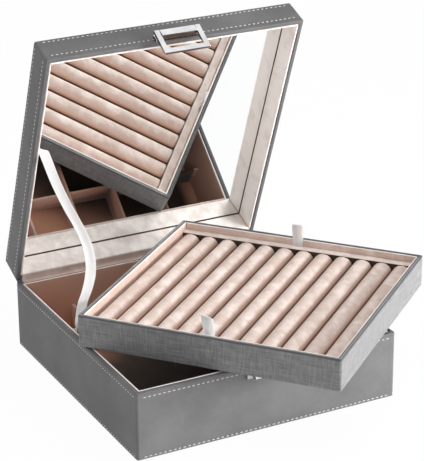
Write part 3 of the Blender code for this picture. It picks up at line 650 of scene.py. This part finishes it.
def soft_slab(size, low, high, edge):
    """A thin pad: flat below, its top edges rounded down, in rings from the middle out."""
    reach = min(size) / 2 - 0.002
    outline = [(reach, low, 0), (0.0, low, edge / 3), (0.0, high, edge), (reach, high, 0)]
    profile = soft_outline(outline, reach / PAD_RINGS, closed=False)
    # Painted shade: the whole pad is coloured darker, as if it lay deep in shade.
    return swept_frame(size, edge, profile, closed=False, cuts=30, kind="nap_and_painted_light",
                       mark=lambda inset, z, corner: 0.80)


pad_size = (CASE_WIDTH - 2 * LINING_FACE, CASE_DEPTH - 2 * LINING_FACE)
pad = soft_slab(pad_size, foot, pad_high, 0.0009)
for vert in pad.verts:
    if vert.co.z > pad_high - 0.001:
        vert.co.z -= 0.00025 * (0.5 + 0.5 * noise.noise(vert.co * 40))
# The tray's painted shadow falls on the pad's front half too.
painted_tray_shadow(pad, SHADOW_LINING)
made_piece("case_floor_pad", "base_floor_pad", pad, velvet, "base")


# Dividers: stiff card covered in the same velvet, folded over the top. Two long ones
# cross with a half lap, and three short ones make five small cells along the back.
DIVIDER, CARD_STEP = 0.0026, 0.006
DIVIDER_LOW, DIVIDER_HIGH = (corner.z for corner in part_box("divider_cross"))
CROSS_Y = 0.07460
INNER_X, INNER_Y = 0.1242, 0.1272


def drawn_out(mesh, outline, places, axis=0, middle=0.0):
    """Skin an outline that is set at these places along X (axis 0) or Y (axis 1)."""
    skinned(mesh, [[mesh.verts.new((place, middle + p.x, p.y) if axis == 0
                                   else (middle + p.x, place, p.y)) for p in outline]
                   for place in places])
    bmesh.ops.recalc_face_normals(mesh, faces=mesh.faces)


def covered_card(name, axis, middle, start, end, notch=None):
    """A card wall along X (axis 0) or Y (axis 1). notch is (place, low, high) of its lap."""
    mesh = bmesh.new()
    dark = mesh.verts.layers.float.new("nap_and_painted_light")
    steps = max(8, round((end - start) / CARD_STEP))
    places = [start + (end - start) * part / steps for part in range(steps + 1)]
    half, whole = DIVIDER / 2, (DIVIDER_LOW, DIVIDER_HIGH)
    spans = [(places, *whole)]
    if notch:
        spot, low, high = notch
        near, far = spot - (half + GAP), spot + (half + GAP)
        before = [place for place in places if place < near - 0.001] + [near]
        beyond = [far] + [place for place in places if place > far + 0.001]
        spans = [(before, *whole), ([near, far], low, high), (beyond, *whole)]
    for run, low, high in spans:
        crown = DIVIDER * 0.48 if high == DIVIDER_HIGH else 0.0001
        outline = soft_outline([(-half, low, 0.0002), (-half, high, crown), (half, high, crown),
                                (half, low, 0.0002)], 0.005)
        drawn_out(mesh, outline, run, axis, middle)
    # Painted shade: the nap darkens from the folded top down the card, and the tray's painted shadow is
    # added.
    for vert in mesh.verts:
        vert[dark] = min(0.85, 0.40 + 0.45 * (DIVIDER_HIGH - vert.co.z) / 0.018)
    painted_tray_shadow(mesh)
    uneven(mesh, 0.00012, 0.02, middle * 50)
    made_piece(name + "_velvet", name, mesh, velvet, "base")


lap = (DIVIDER_LOW + DIVIDER_HIGH) / 2
walls_x = [-INNER_X - GAP + (2 * INNER_X + 2 * GAP) * cell / 5 for cell in range(5)]
long_x = walls_x[2]
covered_card("divider_cross", 0, CROSS_Y, -INNER_X, INNER_X, (long_x, DIVIDER_LOW, lap))
covered_card("divider_long", 1, long_x, -INNER_Y, INNER_Y, (CROSS_Y, lap + GAP, DIVIDER_HIGH))
for cell in (1, 3, 4):
    covered_card(f"divider_cell_{cell}", 1, walls_x[cell], CROSS_Y + DIVIDER / 2 + GAP, INNER_Y)


# Catch on the case front: a small plated casting, a plate with a sloped lug on it that
# the clasp loop snaps under. It is held through the board by two hidden prongs.
CATCH_WIDTH = 0.046
CATCH_PLATE, SOLDER = 0.0012, 0.0004
CAST_SHARP = math.radians(32)
LUG_HEIGHT, LUG_INSET = 0.007, 0.006

chrome = Finish("chrome", (0.86, 0.86, 0.88), 0.09, 1.0)
smear = chrome.noise(55.0, 2.0)
scratch = chrome.noise((4000, 300, 300), 2.0)
chrome.rough(0.09 + smear.limit(0.35, 0.8) * 0.06 + scratch.limit(0.6, 0.9) * 0.04)
plating = smear.limit(0.3, 0.7).mix((0.74, 0.74, 0.76), (0.88, 0.88, 0.89))
# Painted reflection: faces turned to the left and faces turned under get a dark base colour, as if they
# mirrored dark surroundings.
facing = chrome.wire.node("ShaderNodeTexCoord", out="Normal")
painted_reflection_left = facing.dot((-1.0, 0.0, 0.0)).limit(0.55, 0.95)
painted_reflection_under = facing.dot((0.0, -0.93, -0.366)).limit(0.90, 0.985)
chrome.colour(chrome.wire.maths("MAXIMUM", painted_reflection_left, painted_reflection_under), plating,
              (0.20, 0.18, 0.17))
chrome.bump(chrome.noise(60.0, 1.0) + scratch * 0.02, 0.00002, 0.4)


def cast(outline, low, high, axis, edge):
    """A casting: an outline of 2D points drawn out along an axis, all edges softened."""
    mesh = bmesh.new()
    drawn_out(mesh, outline, (low, high), axis)
    sharp = [line for line in mesh.edges if line.calc_face_angle(0) > CAST_SHARP]
    bmesh.ops.bevel(mesh, geom=sharp, offset=edge, segments=3, profile=0.6, affect="EDGES",
                    clamp_overlap=True)
    return mesh


def merged(*meshes):
    """Several closed shells in one piece, as castings soldered together."""
    whole = bmesh.new()
    for mesh in meshes:
        data = plain_mesh("part", mesh)
        whole.from_mesh(data)
        bpy.data.meshes.remove(data)
    return whole


def rectangle(x0, y0, x1, y1, radius):
    return soft_outline([(x0, y0, radius), (x1, y0, radius), (x1, y1, radius),
                         (x0, y1, radius)], 1.0)


low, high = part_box("catch_plate")
wall, nose, half = high.y, low.y, CATCH_WIDTH / 2
plate = cast(rectangle(-half, low.z, half, high.z, 0.0009), wall - CATCH_PLATE, wall, 1, 0.0003)
lug = soft_outline([(wall - SOLDER, low.z, 0), (wall - SOLDER, low.z + LUG_HEIGHT, 0),
                    (nose + 0.0024, low.z + LUG_HEIGHT, 0.0008), (nose, low.z, 0.0008)], 1.0)
lug = cast(lug, LUG_INSET - half, half - LUG_INSET, 0, 0.0003)
made_piece("catch", "catch_plate", merged(plate, lug), chrome, "base", sharp=60)


# Lid mirror: 2 mm silvered glass laid on the lid panel, held all round by the lining.
# A touch of cool in the silver, and faint wiping marks.
HINGE = Vector(next(j["pos_m"] for j in frame["joints"] if j["name"] == "lid_hinge"))
LID_ANGLE = math.radians(-68.5)
LID = Matrix.Translation(HINGE) @ Matrix.Rotation(LID_ANGLE, 4, "X")

mirror_glass = Finish("mirror_glass", (0.93, 0.94, 0.94), 0.0, 1.0)
wiped = mirror_glass.noise((14, 30, 55), 5.0, 0.6, (0.5, 0.2, 0.1))
mirror_glass.rough(wiped.limit(0.55, 0.9) * 0.02)
mirror_glass.colour(wiped, (0.968, 0.975, 0.973), (0.985, 0.99, 0.988))
mirror_glass.cover("lid_mirror")


# Lid cover: the same grey leather over the top panel and down the four walls, round the
# rim and up inside, sewn near the top edge and near the rim.
LID_LOW, LID_HIGH = 0.0008, 0.0293
LID_MIDDLE = -0.00065 - CASE_DEPTH / 2
LID_SEAMS = (0.0066, 0.0258)
TOP_REACH = 0.126
profile = sewn_wrap(TOP_REACH, LID_HIGH, LID_LOW, 0.0016, reversed(LID_SEAMS), 0.010,
                    closed=False)
cover = swept_frame(CASE, CASE_CORNER, profile, closed=False, centre_y=LID_MIDDLE,
                    mark=near_rim(LID_LOW))
uneven(cover, 0.00012, 0.035, 9.0)
made_piece("lid_leather", "lid_leather_cover", cover, leather, "lid", LID)
sewn_rows("lid_stitching", "lid", LID_SEAMS, LID_MIDDLE, LID)


# Lid lining: velvet-covered card strips that stand round the lid's walls, mitred in the
# corners, with their inner edge on the mirror.
MIRROR_FACE = 0.0240
MIRROR_REVEAL = 0.0007
crown = LID_LOW + GAP
profile = [Vector((inset, MIRROR_FACE + crown - height)) for inset, height in
           lining_strip(CASE_WRAP, CASE_LINING, crown + MIRROR_REVEAL, MIRROR_FACE)]
# Painted shade in the lining's corners and along its edge on the mirror, and painted light on the strip
# along the right wall, which is made paler.
lining = swept_frame(CASE, CASE_CORNER, profile, centre_y=LID_MIDDLE, kind="nap_and_painted_light",
                     mark=lambda inset, up, corner: 0.75 * corner - 0.06)
dark = lining.verts.layers.float["nap_and_painted_light"]
for vert in lining.verts:
    if vert.co.z > MIRROR_FACE - MIRROR_REVEAL - 0.0004:
        vert[dark] = 1.0
    elif vert.co.x > CASE_WIDTH / 2 - 0.0072 and vert[dark] < 0:
        vert[dark] = -0.4
uneven(lining, 0.00014, 0.028, 15.0)
made_piece("lid_lining_velvet", "lid_lining", lining, velvet, "lid", LID)


# Clasp: a plated casting on the lid front with a block across it, a steel pin through the
# block, and a square loop that swings on the pin and snaps under the catch's lug.
CLASP_OUT, CLASP_UP = 0.0063, 0.0066
CLASP_WIDTH, CLASP_BAR, CLASP_THICK, CLASP_REACH, CLASP_TOP = 0.046, 0.005, 0.003, 0.0246, 0.0024
CLASP_FOOT, CLASP_PLATE, CLASP_BLOCK = 0.0011, 0.0030, 0.0080
LID_FRONT = LID_MIDDLE - CASE_DEPTH / 2
PIN, PIN_SIDES = 0.0008, 20


def rod(radius, half_length, place):
    """A round pin along X whose ends are peened to a low dome."""
    mesh = bmesh.new()
    turns = [2 * math.pi * side / PIN_SIDES for side in range(PIN_SIDES)]
    ends = ((-1, 0.55), (-0.992, 0.9), (-0.975, 1), (0.975, 1), (0.992, 0.9), (1, 0.55))
    skinned(mesh, [[mesh.verts.new((x * half_length, radius * size * math.cos(angle),
                                    radius * size * math.sin(angle))) for angle in turns]
                   for x, size in ends])
    bmesh.ops.translate(mesh, vec=place, verts=mesh.verts)
    return mesh


half = CLASP_WIDTH / 2
inner = half - CLASP_BAR
top = CLASP_UP + CLASP_TOP
wall = LID_FRONT - GAP
plate = cast(rectangle(-half, CLASP_FOOT, half, top, 0.0008), wall - CLASP_PLATE, wall, 1, 0.0004)
block = cast(rectangle(LID_FRONT - CLASP_BLOCK, CLASP_FOOT, wall - SOLDER, top, 0.0007),
             GAP - inner, inner - GAP, 0, 0.0004)
made_piece("clasp_casting", "clasp_plate", merged(plate, block), chrome, "lid", LID, sharp=60)
axis = Vector((0, LID_FRONT - CLASP_OUT, CLASP_UP))
pin = rod(PIN, half - 0.00005, axis)
made_piece("clasp_rivet_pin", "clasp_pin", pin, chrome, "lid", LID, sharp=60)

rest_out = CLASP_OUT - GAP - CLASP_PLATE
rest_down = CLASP_UP - CLASP_FOOT
droop = (math.acos((CLASP_THICK / 2 + GAP) / math.hypot(rest_out, rest_down))
         - math.atan2(rest_down, rest_out))
low = -CLASP_REACH
right = [(half, low, 0.0010), (half, CLASP_TOP, 0.0004), (inner, CLASP_TOP, 0.0004),
         (inner, low + CLASP_BAR, 0.0004)]
left = [(-x, y, radius) for x, y, radius in reversed(right)]
outline = soft_outline(left[3:] + right + left[:3], 1.0)
swing = LID @ Matrix.Translation(axis) @ Matrix.Rotation(droop, 4, "X")
square = cast(outline, -CLASP_THICK / 2, CLASP_THICK / 2, 1, 0.00045)
made_piece("clasp_swing_loop", "clasp_loop", square, chrome, "clasp", swing, sharp=60)


# Living hinge along the back: a leather strip glued outside over the joint, and a cloth
# strip inside over both rims, so that the lid turns without a metal hinge.
CLOTH = 0.0003
STRIP_STEPS = 60
rim_z = CASE_HEIGHT + GAP + CLOTH / 2
under = LID_LOW - GAP - CLOTH / 2


def ways(points):
    """Which way a line runs at each of its points."""
    last = len(points) - 1
    return [points[min(index + 1, last)] - points[max(index - 1, 0)]
            for index in range(last + 1)]


def thick_strip(path, thickness, half_wide):
    """A strip of even thickness that follows (y, z) points, with UV 'run' in metres."""
    mesh = bmesh.new()
    mesh.loops.layers.uv.new("run")
    sides = [Vector((-way.y, way.x)).normalized() * thickness / 2 for way in ways(path)]
    section = [point + side for point, side in zip(path, sides)]
    section += [point - side for point, side in zip(path, sides)][::-1]
    lengths = run_lengths(section + section[:1])
    wide = 2 * half_wide / STRIP_STEPS
    rows = [[mesh.verts.new((2 * half_wide * step / STRIP_STEPS - half_wide, p.x, p.y))
             for p in section] for step in range(STRIP_STEPS + 1)]
    skinned(mesh, rows, ends=False, uv=lambda up, right: (right * wide, lengths[up]))
    for row in (rows[0], rows[-1]):
        for index in range(len(path) - 1):
            mesh.faces.new((row[index], row[index + 1], row[-2 - index], row[-1 - index]))
    return mesh


def lid_point(out, up):
    """(y, z) of a point of the open lid, out from the hinge and up from the rim side."""
    spot = LID @ Vector((0, -out, up))
    return (spot.y, spot.z)


def hinge_strip(name, node, finish, thickness, inset, outline, step, start, end):
    """A strip that is stretched from the case to the lid when the lid is open."""
    path = soft_outline(outline, step, closed=False)
    half = CASE_WIDTH / 2 - inset
    strip = thick_strip(path, thickness, half)
    if finish is velvet:
        # Painted shade: the cloth is coloured tan, darker on the case's rim than on the lid.
        dark = strip.verts.layers.float.new("nap_and_painted_light")
        for vert in strip.verts:
            vert[dark] = 0.30 if vert.co.z < rim_z + 0.001 else 0.14
    item = made_piece(name, node, strip, finish)
    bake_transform(item, "base", "lid", start=(0, *start), end=(0, *end))
    run_lengths(path)[-1]


hinge_strip("hinge_leather", "hinge_leather_strip", leather, LEATHER, 0.0012,
            [(HINGE.y, HINGE.z - 0.016, 0), (HINGE.y, HINGE.z, 0.0015),
             (*lid_point(0, 0.014), 0)],
            0.0015, (HINGE.y, HINGE.z - 0.003), lid_point(0, 0.003))
hinge_strip("hinge_cloth", "hinge_cloth_strip", velvet, CLOTH, 0.0063,
            [(CASE_DEPTH / 2 - 0.0053, rim_z, 0), (HINGE.y - 0.00065, rim_z, 0.0004),
             (*lid_point(0.00065, under), 0.0004), (*lid_point(0.0067, under), 0)],
            0.0012, (HINGE.y - 0.0030, rim_z), lid_point(0.0030, under))


# Lid stay: white satin ribbon on the left, glued to the lid's wall and to the case's,
# slack enough here to bow to the front. Its ends lie flat and it turns on edge between.
RIBBON, RIBBON_ROOM = 0.00042, 0.00025
STAY_WIDTH = 0.0100
STAY_SAMPLES = 150
STAY_SHARES = (
    (0.00, 0.000), (0.06, 0.025), (0.12, 0.053), (0.24, 0.108), (0.365, 0.190), (0.457, 0.268),
    (0.546, 0.332), (0.633, 0.346), (0.703, 0.309), (0.773, 0.222), (0.828, 0.132),
    (0.899, 0.059), (0.97, 0.012), (1.00, 0.000),
)
satin = Finish("satin", (0.80, 0.785, 0.765), 0.38, place="run", Sheen_Weight=0.25,
               Sheen_Roughness=0.3, Subsurface_Weight=1.0, Subsurface_Radius=(1.0, 0.95, 0.9),
               Subsurface_Scale=0.003)
ribs = satin.bands("Y", 950.0, 0.3, Detail=1.0)
slubs = satin.noise((2500, 60, 1))
satin.colour(slubs.limit(0.3, 0.75), (0.79, 0.775, 0.76), (0.89, 0.875, 0.86))
satin.rough(0.30 + slubs * 0.20)
satin.bump(ribs * 0.5 + slubs * 0.5, 0.00006, 0.6)


def smooth_curve(points, count):
    """Even samples of a smooth curve through the points."""
    padded = [2 * points[0] - points[1], *points, 2 * points[-1] - points[-2]]
    samples = []
    for index in range(count + 1):
        place = index / count * (len(points) - 1)
        part = min(int(place), len(points) - 2)
        t = place - part
        a, b, c, d = padded[part:part + 4]
        samples.append(0.5 * (2 * b + (c - a) * t + (2 * a - 5 * b + 4 * c - d) * t ** 2
                              + (3 * b - a - 3 * c + d) * t ** 3))
    return samples


def ribbon(centres, widths, normals, wide, scales, cup=0.0):
    """A woven ribbon with firm round edges. It looks narrower where it curls across."""
    mesh = bmesh.new()
    mesh.loops.layers.uv.new("run")
    spots = []
    for side in (1, -1):
        for across in (side * (part / 4 - 1) for part in range(9)):
            body = 0.30 if abs(across) == 1 else 0.34
            spots.append((across, side * body * RIBBON, cup * across ** 2))
    lengths = run_lengths(centres)
    rings = [[mesh.verts.new(centre + across * (a * scale * wide / 2)
                             + normal * (t + c * (1 + 22 * (1 - scale)))) for a, t, c in spots]
             for centre, across, normal, scale in zip(centres, widths, normals, scales)]
    sides = [spot[0] * wide / 2 for spot in spots + spots[:1]]
    skinned(mesh, rings, uv=lambda part, row: (sides[part], lengths[row]))
    return mesh, lengths[-1]


upper = Vector((0, *lid_point(0.1625, 0.0195)))
lower = Vector((0, CASE_DEPTH / 2 - 0.1225, CASE_HEIGHT - 0.0113))
chord = lower - upper
bow = Vector((0, chord.z, -chord.y))
route = smooth_curve([upper + chord * down + bow * out for down, out in STAY_SHARES],
                     STAY_SAMPLES)
lengths = run_lengths(route)
wall_x = LINING_FACE - CASE_WIDTH / 2 + RIBBON_ROOM
clear_x = wall_x + STAY_WIDTH / 2 + GAP
outward = Vector((1, 0, 0))
centres, widths, normals, curl = [], [], [], []
for index, (point, way) in enumerate(zip(route, ways(route))):
    run_on = way.normalized()
    down = index / STAY_SAMPLES
    from_end = min(lengths[index], lengths[-1] - lengths[index])
    share = min(max((from_end - 0.006) / 0.012, 0.0), 1.0)
    share = share * share * (3 - 2 * share)
    angle = math.pi / 2 * share + 0.25 * math.exp(-((down - 0.58) / 0.12) ** 2)
    across = outward.cross(run_on).normalized() * math.cos(angle) + outward * math.sin(angle)
    centres.append(Vector((wall_x + (clear_x - wall_x) * math.sin(angle), point.y, point.z)))
    widths.append(across)
    normals.append(across.cross(run_on).normalized())
    curl.append(1 - 0.10 * math.exp(-((down - 0.44) / 0.22) ** 2))
mesh, length = ribbon(centres, widths, normals, STAY_WIDTH, curl, cup=-0.0004)
stay = made_piece("stay_satin_ribbon", "stay_ribbon", mesh, satin)
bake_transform(stay, "base", "lid", start=centres[-8], end=centres[8])


# Tray cover: grey leather pressed with a linen grain, glued round thin board walls and
# turned in over a narrow rim. It isn't sewn.
TRAY_SIZE = (0.2474, 0.2424)
TRAY_WIDTH, TRAY_HEIGHT = TRAY_SIZE[1], 0.0310
TRAY_WRAP, TRAY_CORNER, TRAY_FOOT = 0.0038, 0.0022, 0.0008
TRAY_SKIN = 0.0006
TRAY_TURN = math.radians(-49.7)
TRAY = Matrix.Translation((0.0360, -0.0425, 0.0664)) @ Matrix.Rotation(TRAY_TURN, 4, "Z")

linen = Finish("tray_linen", (0.22, 0.22, 0.225), 0.5, place="run", Specular_IOR_Level=0.55)
# On this cover the marked attribute is painted light: below 0 it is a pale painted highlight along the rim,
# and above 0 it is painted shade at the rim's bends and along the back rim.
wear_and_painted_light_mark = linen.marked("wear_and_painted_light")
upright = linen.noise((560, 60, 1), 5.0, 0.7)
level = linen.noise((40, 640, 1), 5.0, 0.7)
warp, weft = (linen.bands(way, 300.0, 1.2, Detail_Scale=60.0) for way in "XY")
weave = linen.wire.maths("MAXIMUM", warp * (0.4 + upright), weft * (0.4 + level))
streak = upright.limit(0.28, 0.74) * 0.5 + level.limit(0.28, 0.74) * 0.5
tone = streak * 0.85 + weave * 0.15 - wear_and_painted_light_mark * 0.8
painted_highlight = (wear_and_painted_light_mark * -1).limit(0.0, 0.7) * 0.5
linen.colour(painted_highlight, tone.mix((0.070, 0.069, 0.072), (0.300, 0.298, 0.303)), (0.62, 0.62, 0.63))
linen.rough(0.44 + streak * 0.12)
linen.bump(weave * 0.4 + streak * 0.6, 0.00022, 0.9)


def painted_rim_light_and_shade(inset, z, corner):
    """Painted highlight makes the rim pale along its rounded middle, and painted shade makes it dark where
    it bends over at each edge.
    """
    if z < TRAY_HEIGHT - 0.0012:
        return 0.0
    return 0.9 - 1.6 * max(0.0, 1 - abs(inset - TRAY_WRAP / 2) / 0.0011)


inner, under_rim = TRAY_WRAP - TRAY_SKIN, TRAY_HEIGHT - TRAY_SKIN
outline = [(0.012, TRAY_FOOT, 0), (0.0, TRAY_FOOT, 0.0007), (0.0, TRAY_HEIGHT - 0.0018, 0),
           (0.0, TRAY_HEIGHT, 0.0011), (0.0016, TRAY_HEIGHT, 0), (0.0023, TRAY_HEIGHT, 0),
           (TRAY_WRAP, TRAY_HEIGHT, 0.0011), (TRAY_WRAP, TRAY_HEIGHT - 0.0055, 0),
           (inner, TRAY_HEIGHT - 0.0055, 0), (inner, under_rim, 0.0006),
           (TRAY_SKIN, under_rim, 0.0006), (TRAY_SKIN, TRAY_FOOT + TRAY_SKIN, 0),
           (0.012, TRAY_FOOT + TRAY_SKIN, 0)]
cover = swept_frame(TRAY_SIZE, TRAY_CORNER, soft_outline(outline, 0.005), mark=painted_rim_light_and_shade)
dark = cover.verts.layers.float["wear_and_painted_light"]
# Painted shade: the back rim is coloured dark, as the side turned from the light.
for vert in cover.verts:
    if vert.co.y > TRAY_WIDTH / 2 - 0.0045 and vert.co.z > TRAY_HEIGHT - 0.0014:
        vert[dark] = 1.0
uneven(cover, 0.00010, 0.03, 21.0)
made_piece("tray_linen_cover", "tray_cover", cover, linen, "tray", TRAY)


# Tray lining and ledges: velvet on thin card round the walls, and a padded ledge along
# the front and the back that holds the ends of the rolls down.
TRAY_LINING = 0.0012
TRAY_FACE = TRAY_WRAP + GAP + TRAY_LINING
SEAT = 0.0083
LEDGE = 0.0085
LEDGE_TOP = TRAY_HEIGHT - 0.0068
TRAY_FLOOR = TRAY_FOOT + TRAY_SKIN + GAP + 0.0020 + GAP
profile = lining_strip(TRAY_WRAP, TRAY_LINING, TRAY_FLOOR, TRAY_HEIGHT - GAP)
# Painted light on the lining's folded top edge, and painted shade down its walls and in its corners.
lining = swept_frame(TRAY_SIZE, TRAY_CORNER, profile, kind="nap_and_painted_light",
                     mark=painted_edge_light_and_wall_shade(TRAY_HEIGHT - 0.0008, 0.012, 0.28))
uneven(lining, 0.00012, 0.025, 31.0)
made_piece("tray_lining_velvet", "tray_lining", lining, velvet, "tray", TRAY)

well_x, well_y = (length / 2 - TRAY_FACE - GAP for length in TRAY_SIZE)
bed = soft_slab((2 * well_x, 2 * well_y), TRAY_FLOOR, TRAY_FLOOR + 0.0040, 0.0008)
made_piece("tray_foam_pad", "tray_foam_bed", bed, velvet, "tray", TRAY)
for side, name in ((-1, "tray_ledge_front"), (1, "tray_ledge_back")):
    inner_edge = side * (well_y - LEDGE)
    first, last = sorted((side * well_y, inner_edge))
    outline = soft_outline([(first, SEAT, 0.0004), (last, SEAT, 0.0004),
                            (last, LEDGE_TOP, 0.0011), (first, LEDGE_TOP, 0.0011)], 0.003)
    mesh = bmesh.new()
    dark = mesh.verts.layers.float.new("nap_and_painted_light")
    drawn_out(mesh, outline, [step * well_x / 40 for step in range(-40, 41)])
    # Painted shade: the ledge's inner face under the rolls' ends is coloured near-black brown, and the rest
    # is lightly tinted.
    for vert in mesh.verts:
        in_shade = abs(vert.co.y - inner_edge) < 0.0003 and vert.co.z < LEDGE_TOP - 0.0008
        vert[dark] = 1.0 if in_shade else 0.12
    uneven(mesh, 0.00022, 0.018, side * 3.0)
    made_piece(name + "_pad", name, mesh, velvet, "tray", TRAY)


# Ring rolls: twelve foam cores, each sewn into velvet, set tight side by side so that a
# ring is held between two of them. Their ends are gathered flat against the ledges.
ROLLS = 12
ROLL_CREST = TRAY_HEIGHT - 0.0070
ROLL_END = 0.0026
ROLL_LENGTH = 2 * (well_y - LEDGE - GAP)
roll_pitch = 2 * well_x / ROLLS

rolling, given = new_tree("ring_roll", {
    "Width": 0.0193, "Length": 0.2, "Crest": 0.024, "Seat": 0.0086, "End": ROLL_END,
    "Seed": 1, "Velvet": None})
maths, xyz = rolling.maths, rolling.xyz
sheet = rolling.node("GeometryNodeMeshGrid", {
    "Size X": 1.0, "Size Y": 1.0, "Vertices X": 61, "Vertices Y": 75})
spot = rolling.node("GeometryNodeInputPosition")
round_share = rolling.node("ShaderNodeSeparateXYZ", {0: spot}, 0)
long_share = rolling.node("ShaderNodeSeparateXYZ", {0: spot}, 1)
angle = round_share * (2 * math.pi)
reach = maths("SINE", long_share * math.pi)
half_length = given["Length"] / 2
from_end = half_length * (1 - maths("ABSOLUTE", reach))
closing = maths("MINIMUM", from_end / given["End"], 1.0)
drawn = maths("MAXIMUM", 1 - (1 - closing) ** 4.0, 0.0) ** 0.25
cosine = maths("COSINE", angle)
sine = maths("SINE", angle)
rise = maths("MAXIMUM", sine, 0.0)
drop = maths("MAXIMUM", sine * -1, 0.0) ** 0.45
radius = given["Width"] / 2
middle = given["Crest"] - radius
shift = xyz(cosine * 0.011, reach * half_length, given["Seed"] * 0.731 + rise * 0.02)
swell, bare = (rolling.node("ShaderNodeTexNoise", {
    "Vector": shift, "Scale": scale, "Detail": detail}, "Fac")
    for scale, detail in ((38.0, 2.0), (130.0, 4.0)))
folds = maths("COSINE", angle * 15 + given["Seed"] * 1.7)
gather = folds * maths("MAXIMUM", 1 - from_end / 0.010, 0.0) * 0.012
size_share = drawn * (0.985 + (swell - 0.5) * 0.05 + gather)
wide = maths("SIGN", cosine) * maths("ABSOLUTE", cosine) ** 0.92
# Painted shade: each roll darkens down its sides into the crevices, and more on the flank turned away from
# the light; bare adds the nap's own patchiness.
far_flank_shade = (cosine * -1).limit(0.10, 0.75) * 0.26
lightness = 0.69 + bare.limit(0.3, 0.7) * 0.14 - far_flank_shade
depth = 0.97 - (rise * drawn).limit(0.36, 0.76) * lightness
marked = rolling.node("GeometryNodeStoreNamedAttribute", {
    "Geometry": sheet, "Name": "nap_and_painted_light", "Value": depth}, domain="POINT")
height = middle + (rise * radius - drop * (middle - given["Seat"])) * size_share
placed = rolling.node("GeometryNodeSetPosition", {
    "Geometry": marked,
    "Position": xyz(wide * radius * size_share, reach * half_length, height)})
welded = rolling.node("GeometryNodeMergeByDistance", {"Geometry": placed, "Distance": 0.00002})
end_tree(rolling, [(welded, given["Velvet"])])

for number in range(ROLLS):
    mesh = bmesh.new()
    grow(mesh, rolling, {
        "Width": roll_pitch - 0.0004, "Length": ROLL_LENGTH, "Crest": ROLL_CREST,
        "Seat": SEAT, "End": ROLL_END, "Seed": number + 1, "Velvet": velvet.made})
    place = TRAY @ Matrix.Translation((roll_pitch * (number + 0.5) - well_x, 0, 0))
    roll = made_piece(f"ring_roll_velvet_{number + 1:02d}", f"ring_roll_{number + 1:02d}", mesh,
                      velvet, "tray", place, sharp=75)


# Pull tabs: a loop of the same satin ribbon in the middle of the tray's front and back,
# its two ends glued between the lining and the ledge.
TAB_WIDTH = 0.0112
for side, name, height, lean, sway in ((-1, "tray_tab_front", 0.0145, 0.0040, -0.0035),
                                       (1, "tray_tab_back", 0.0155, 0.0008, 0.0)):
    seat = well_y - RIBBON_ROOM
    rim, fold = TRAY_HEIGHT, TRAY_HEIGHT + height - 0.001
    inner = seat - 0.002
    points = [(seat, LEDGE_TOP + 0.0004, 0), (seat, rim, 0.004),
              (seat - lean / 2, (rim + fold) / 2, 0.010), (seat - lean, fold + 0.001, 0.00098),
              (seat - lean - 0.002, fold + 0.001, 0.00098),
              (inner - lean / 2, (rim + fold) / 2, 0.010), (inner, rim, 0.004),
              (inner, LEDGE_TOP + 0.0004, 0)]
    path = soft_outline(points, 0.0012, closed=False)
    lifts = [min(1.0, max(0.0, (p.y - rim) / height)) for p in path]
    centres = [Vector((sway * lift ** 1.3, side * p.x, p.y)) for p, lift in zip(path, lifts)]
    widths = [Matrix.Rotation(-sway * 80 * lift, 3, "Y") @ Vector((1, 0, 0)) for lift in lifts]
    normals = [width.cross(way).normalized() for width, way in zip(widths, ways(centres))]
    scales = [0.86 + 0.14 * min(1.0, lift * 1.4) for lift in lifts]
    mesh, length = ribbon(centres, widths, normals, TAB_WIDTH, scales)
    tab = made_piece(name + "_ribbon", name, mesh, satin, "tray", TRAY)
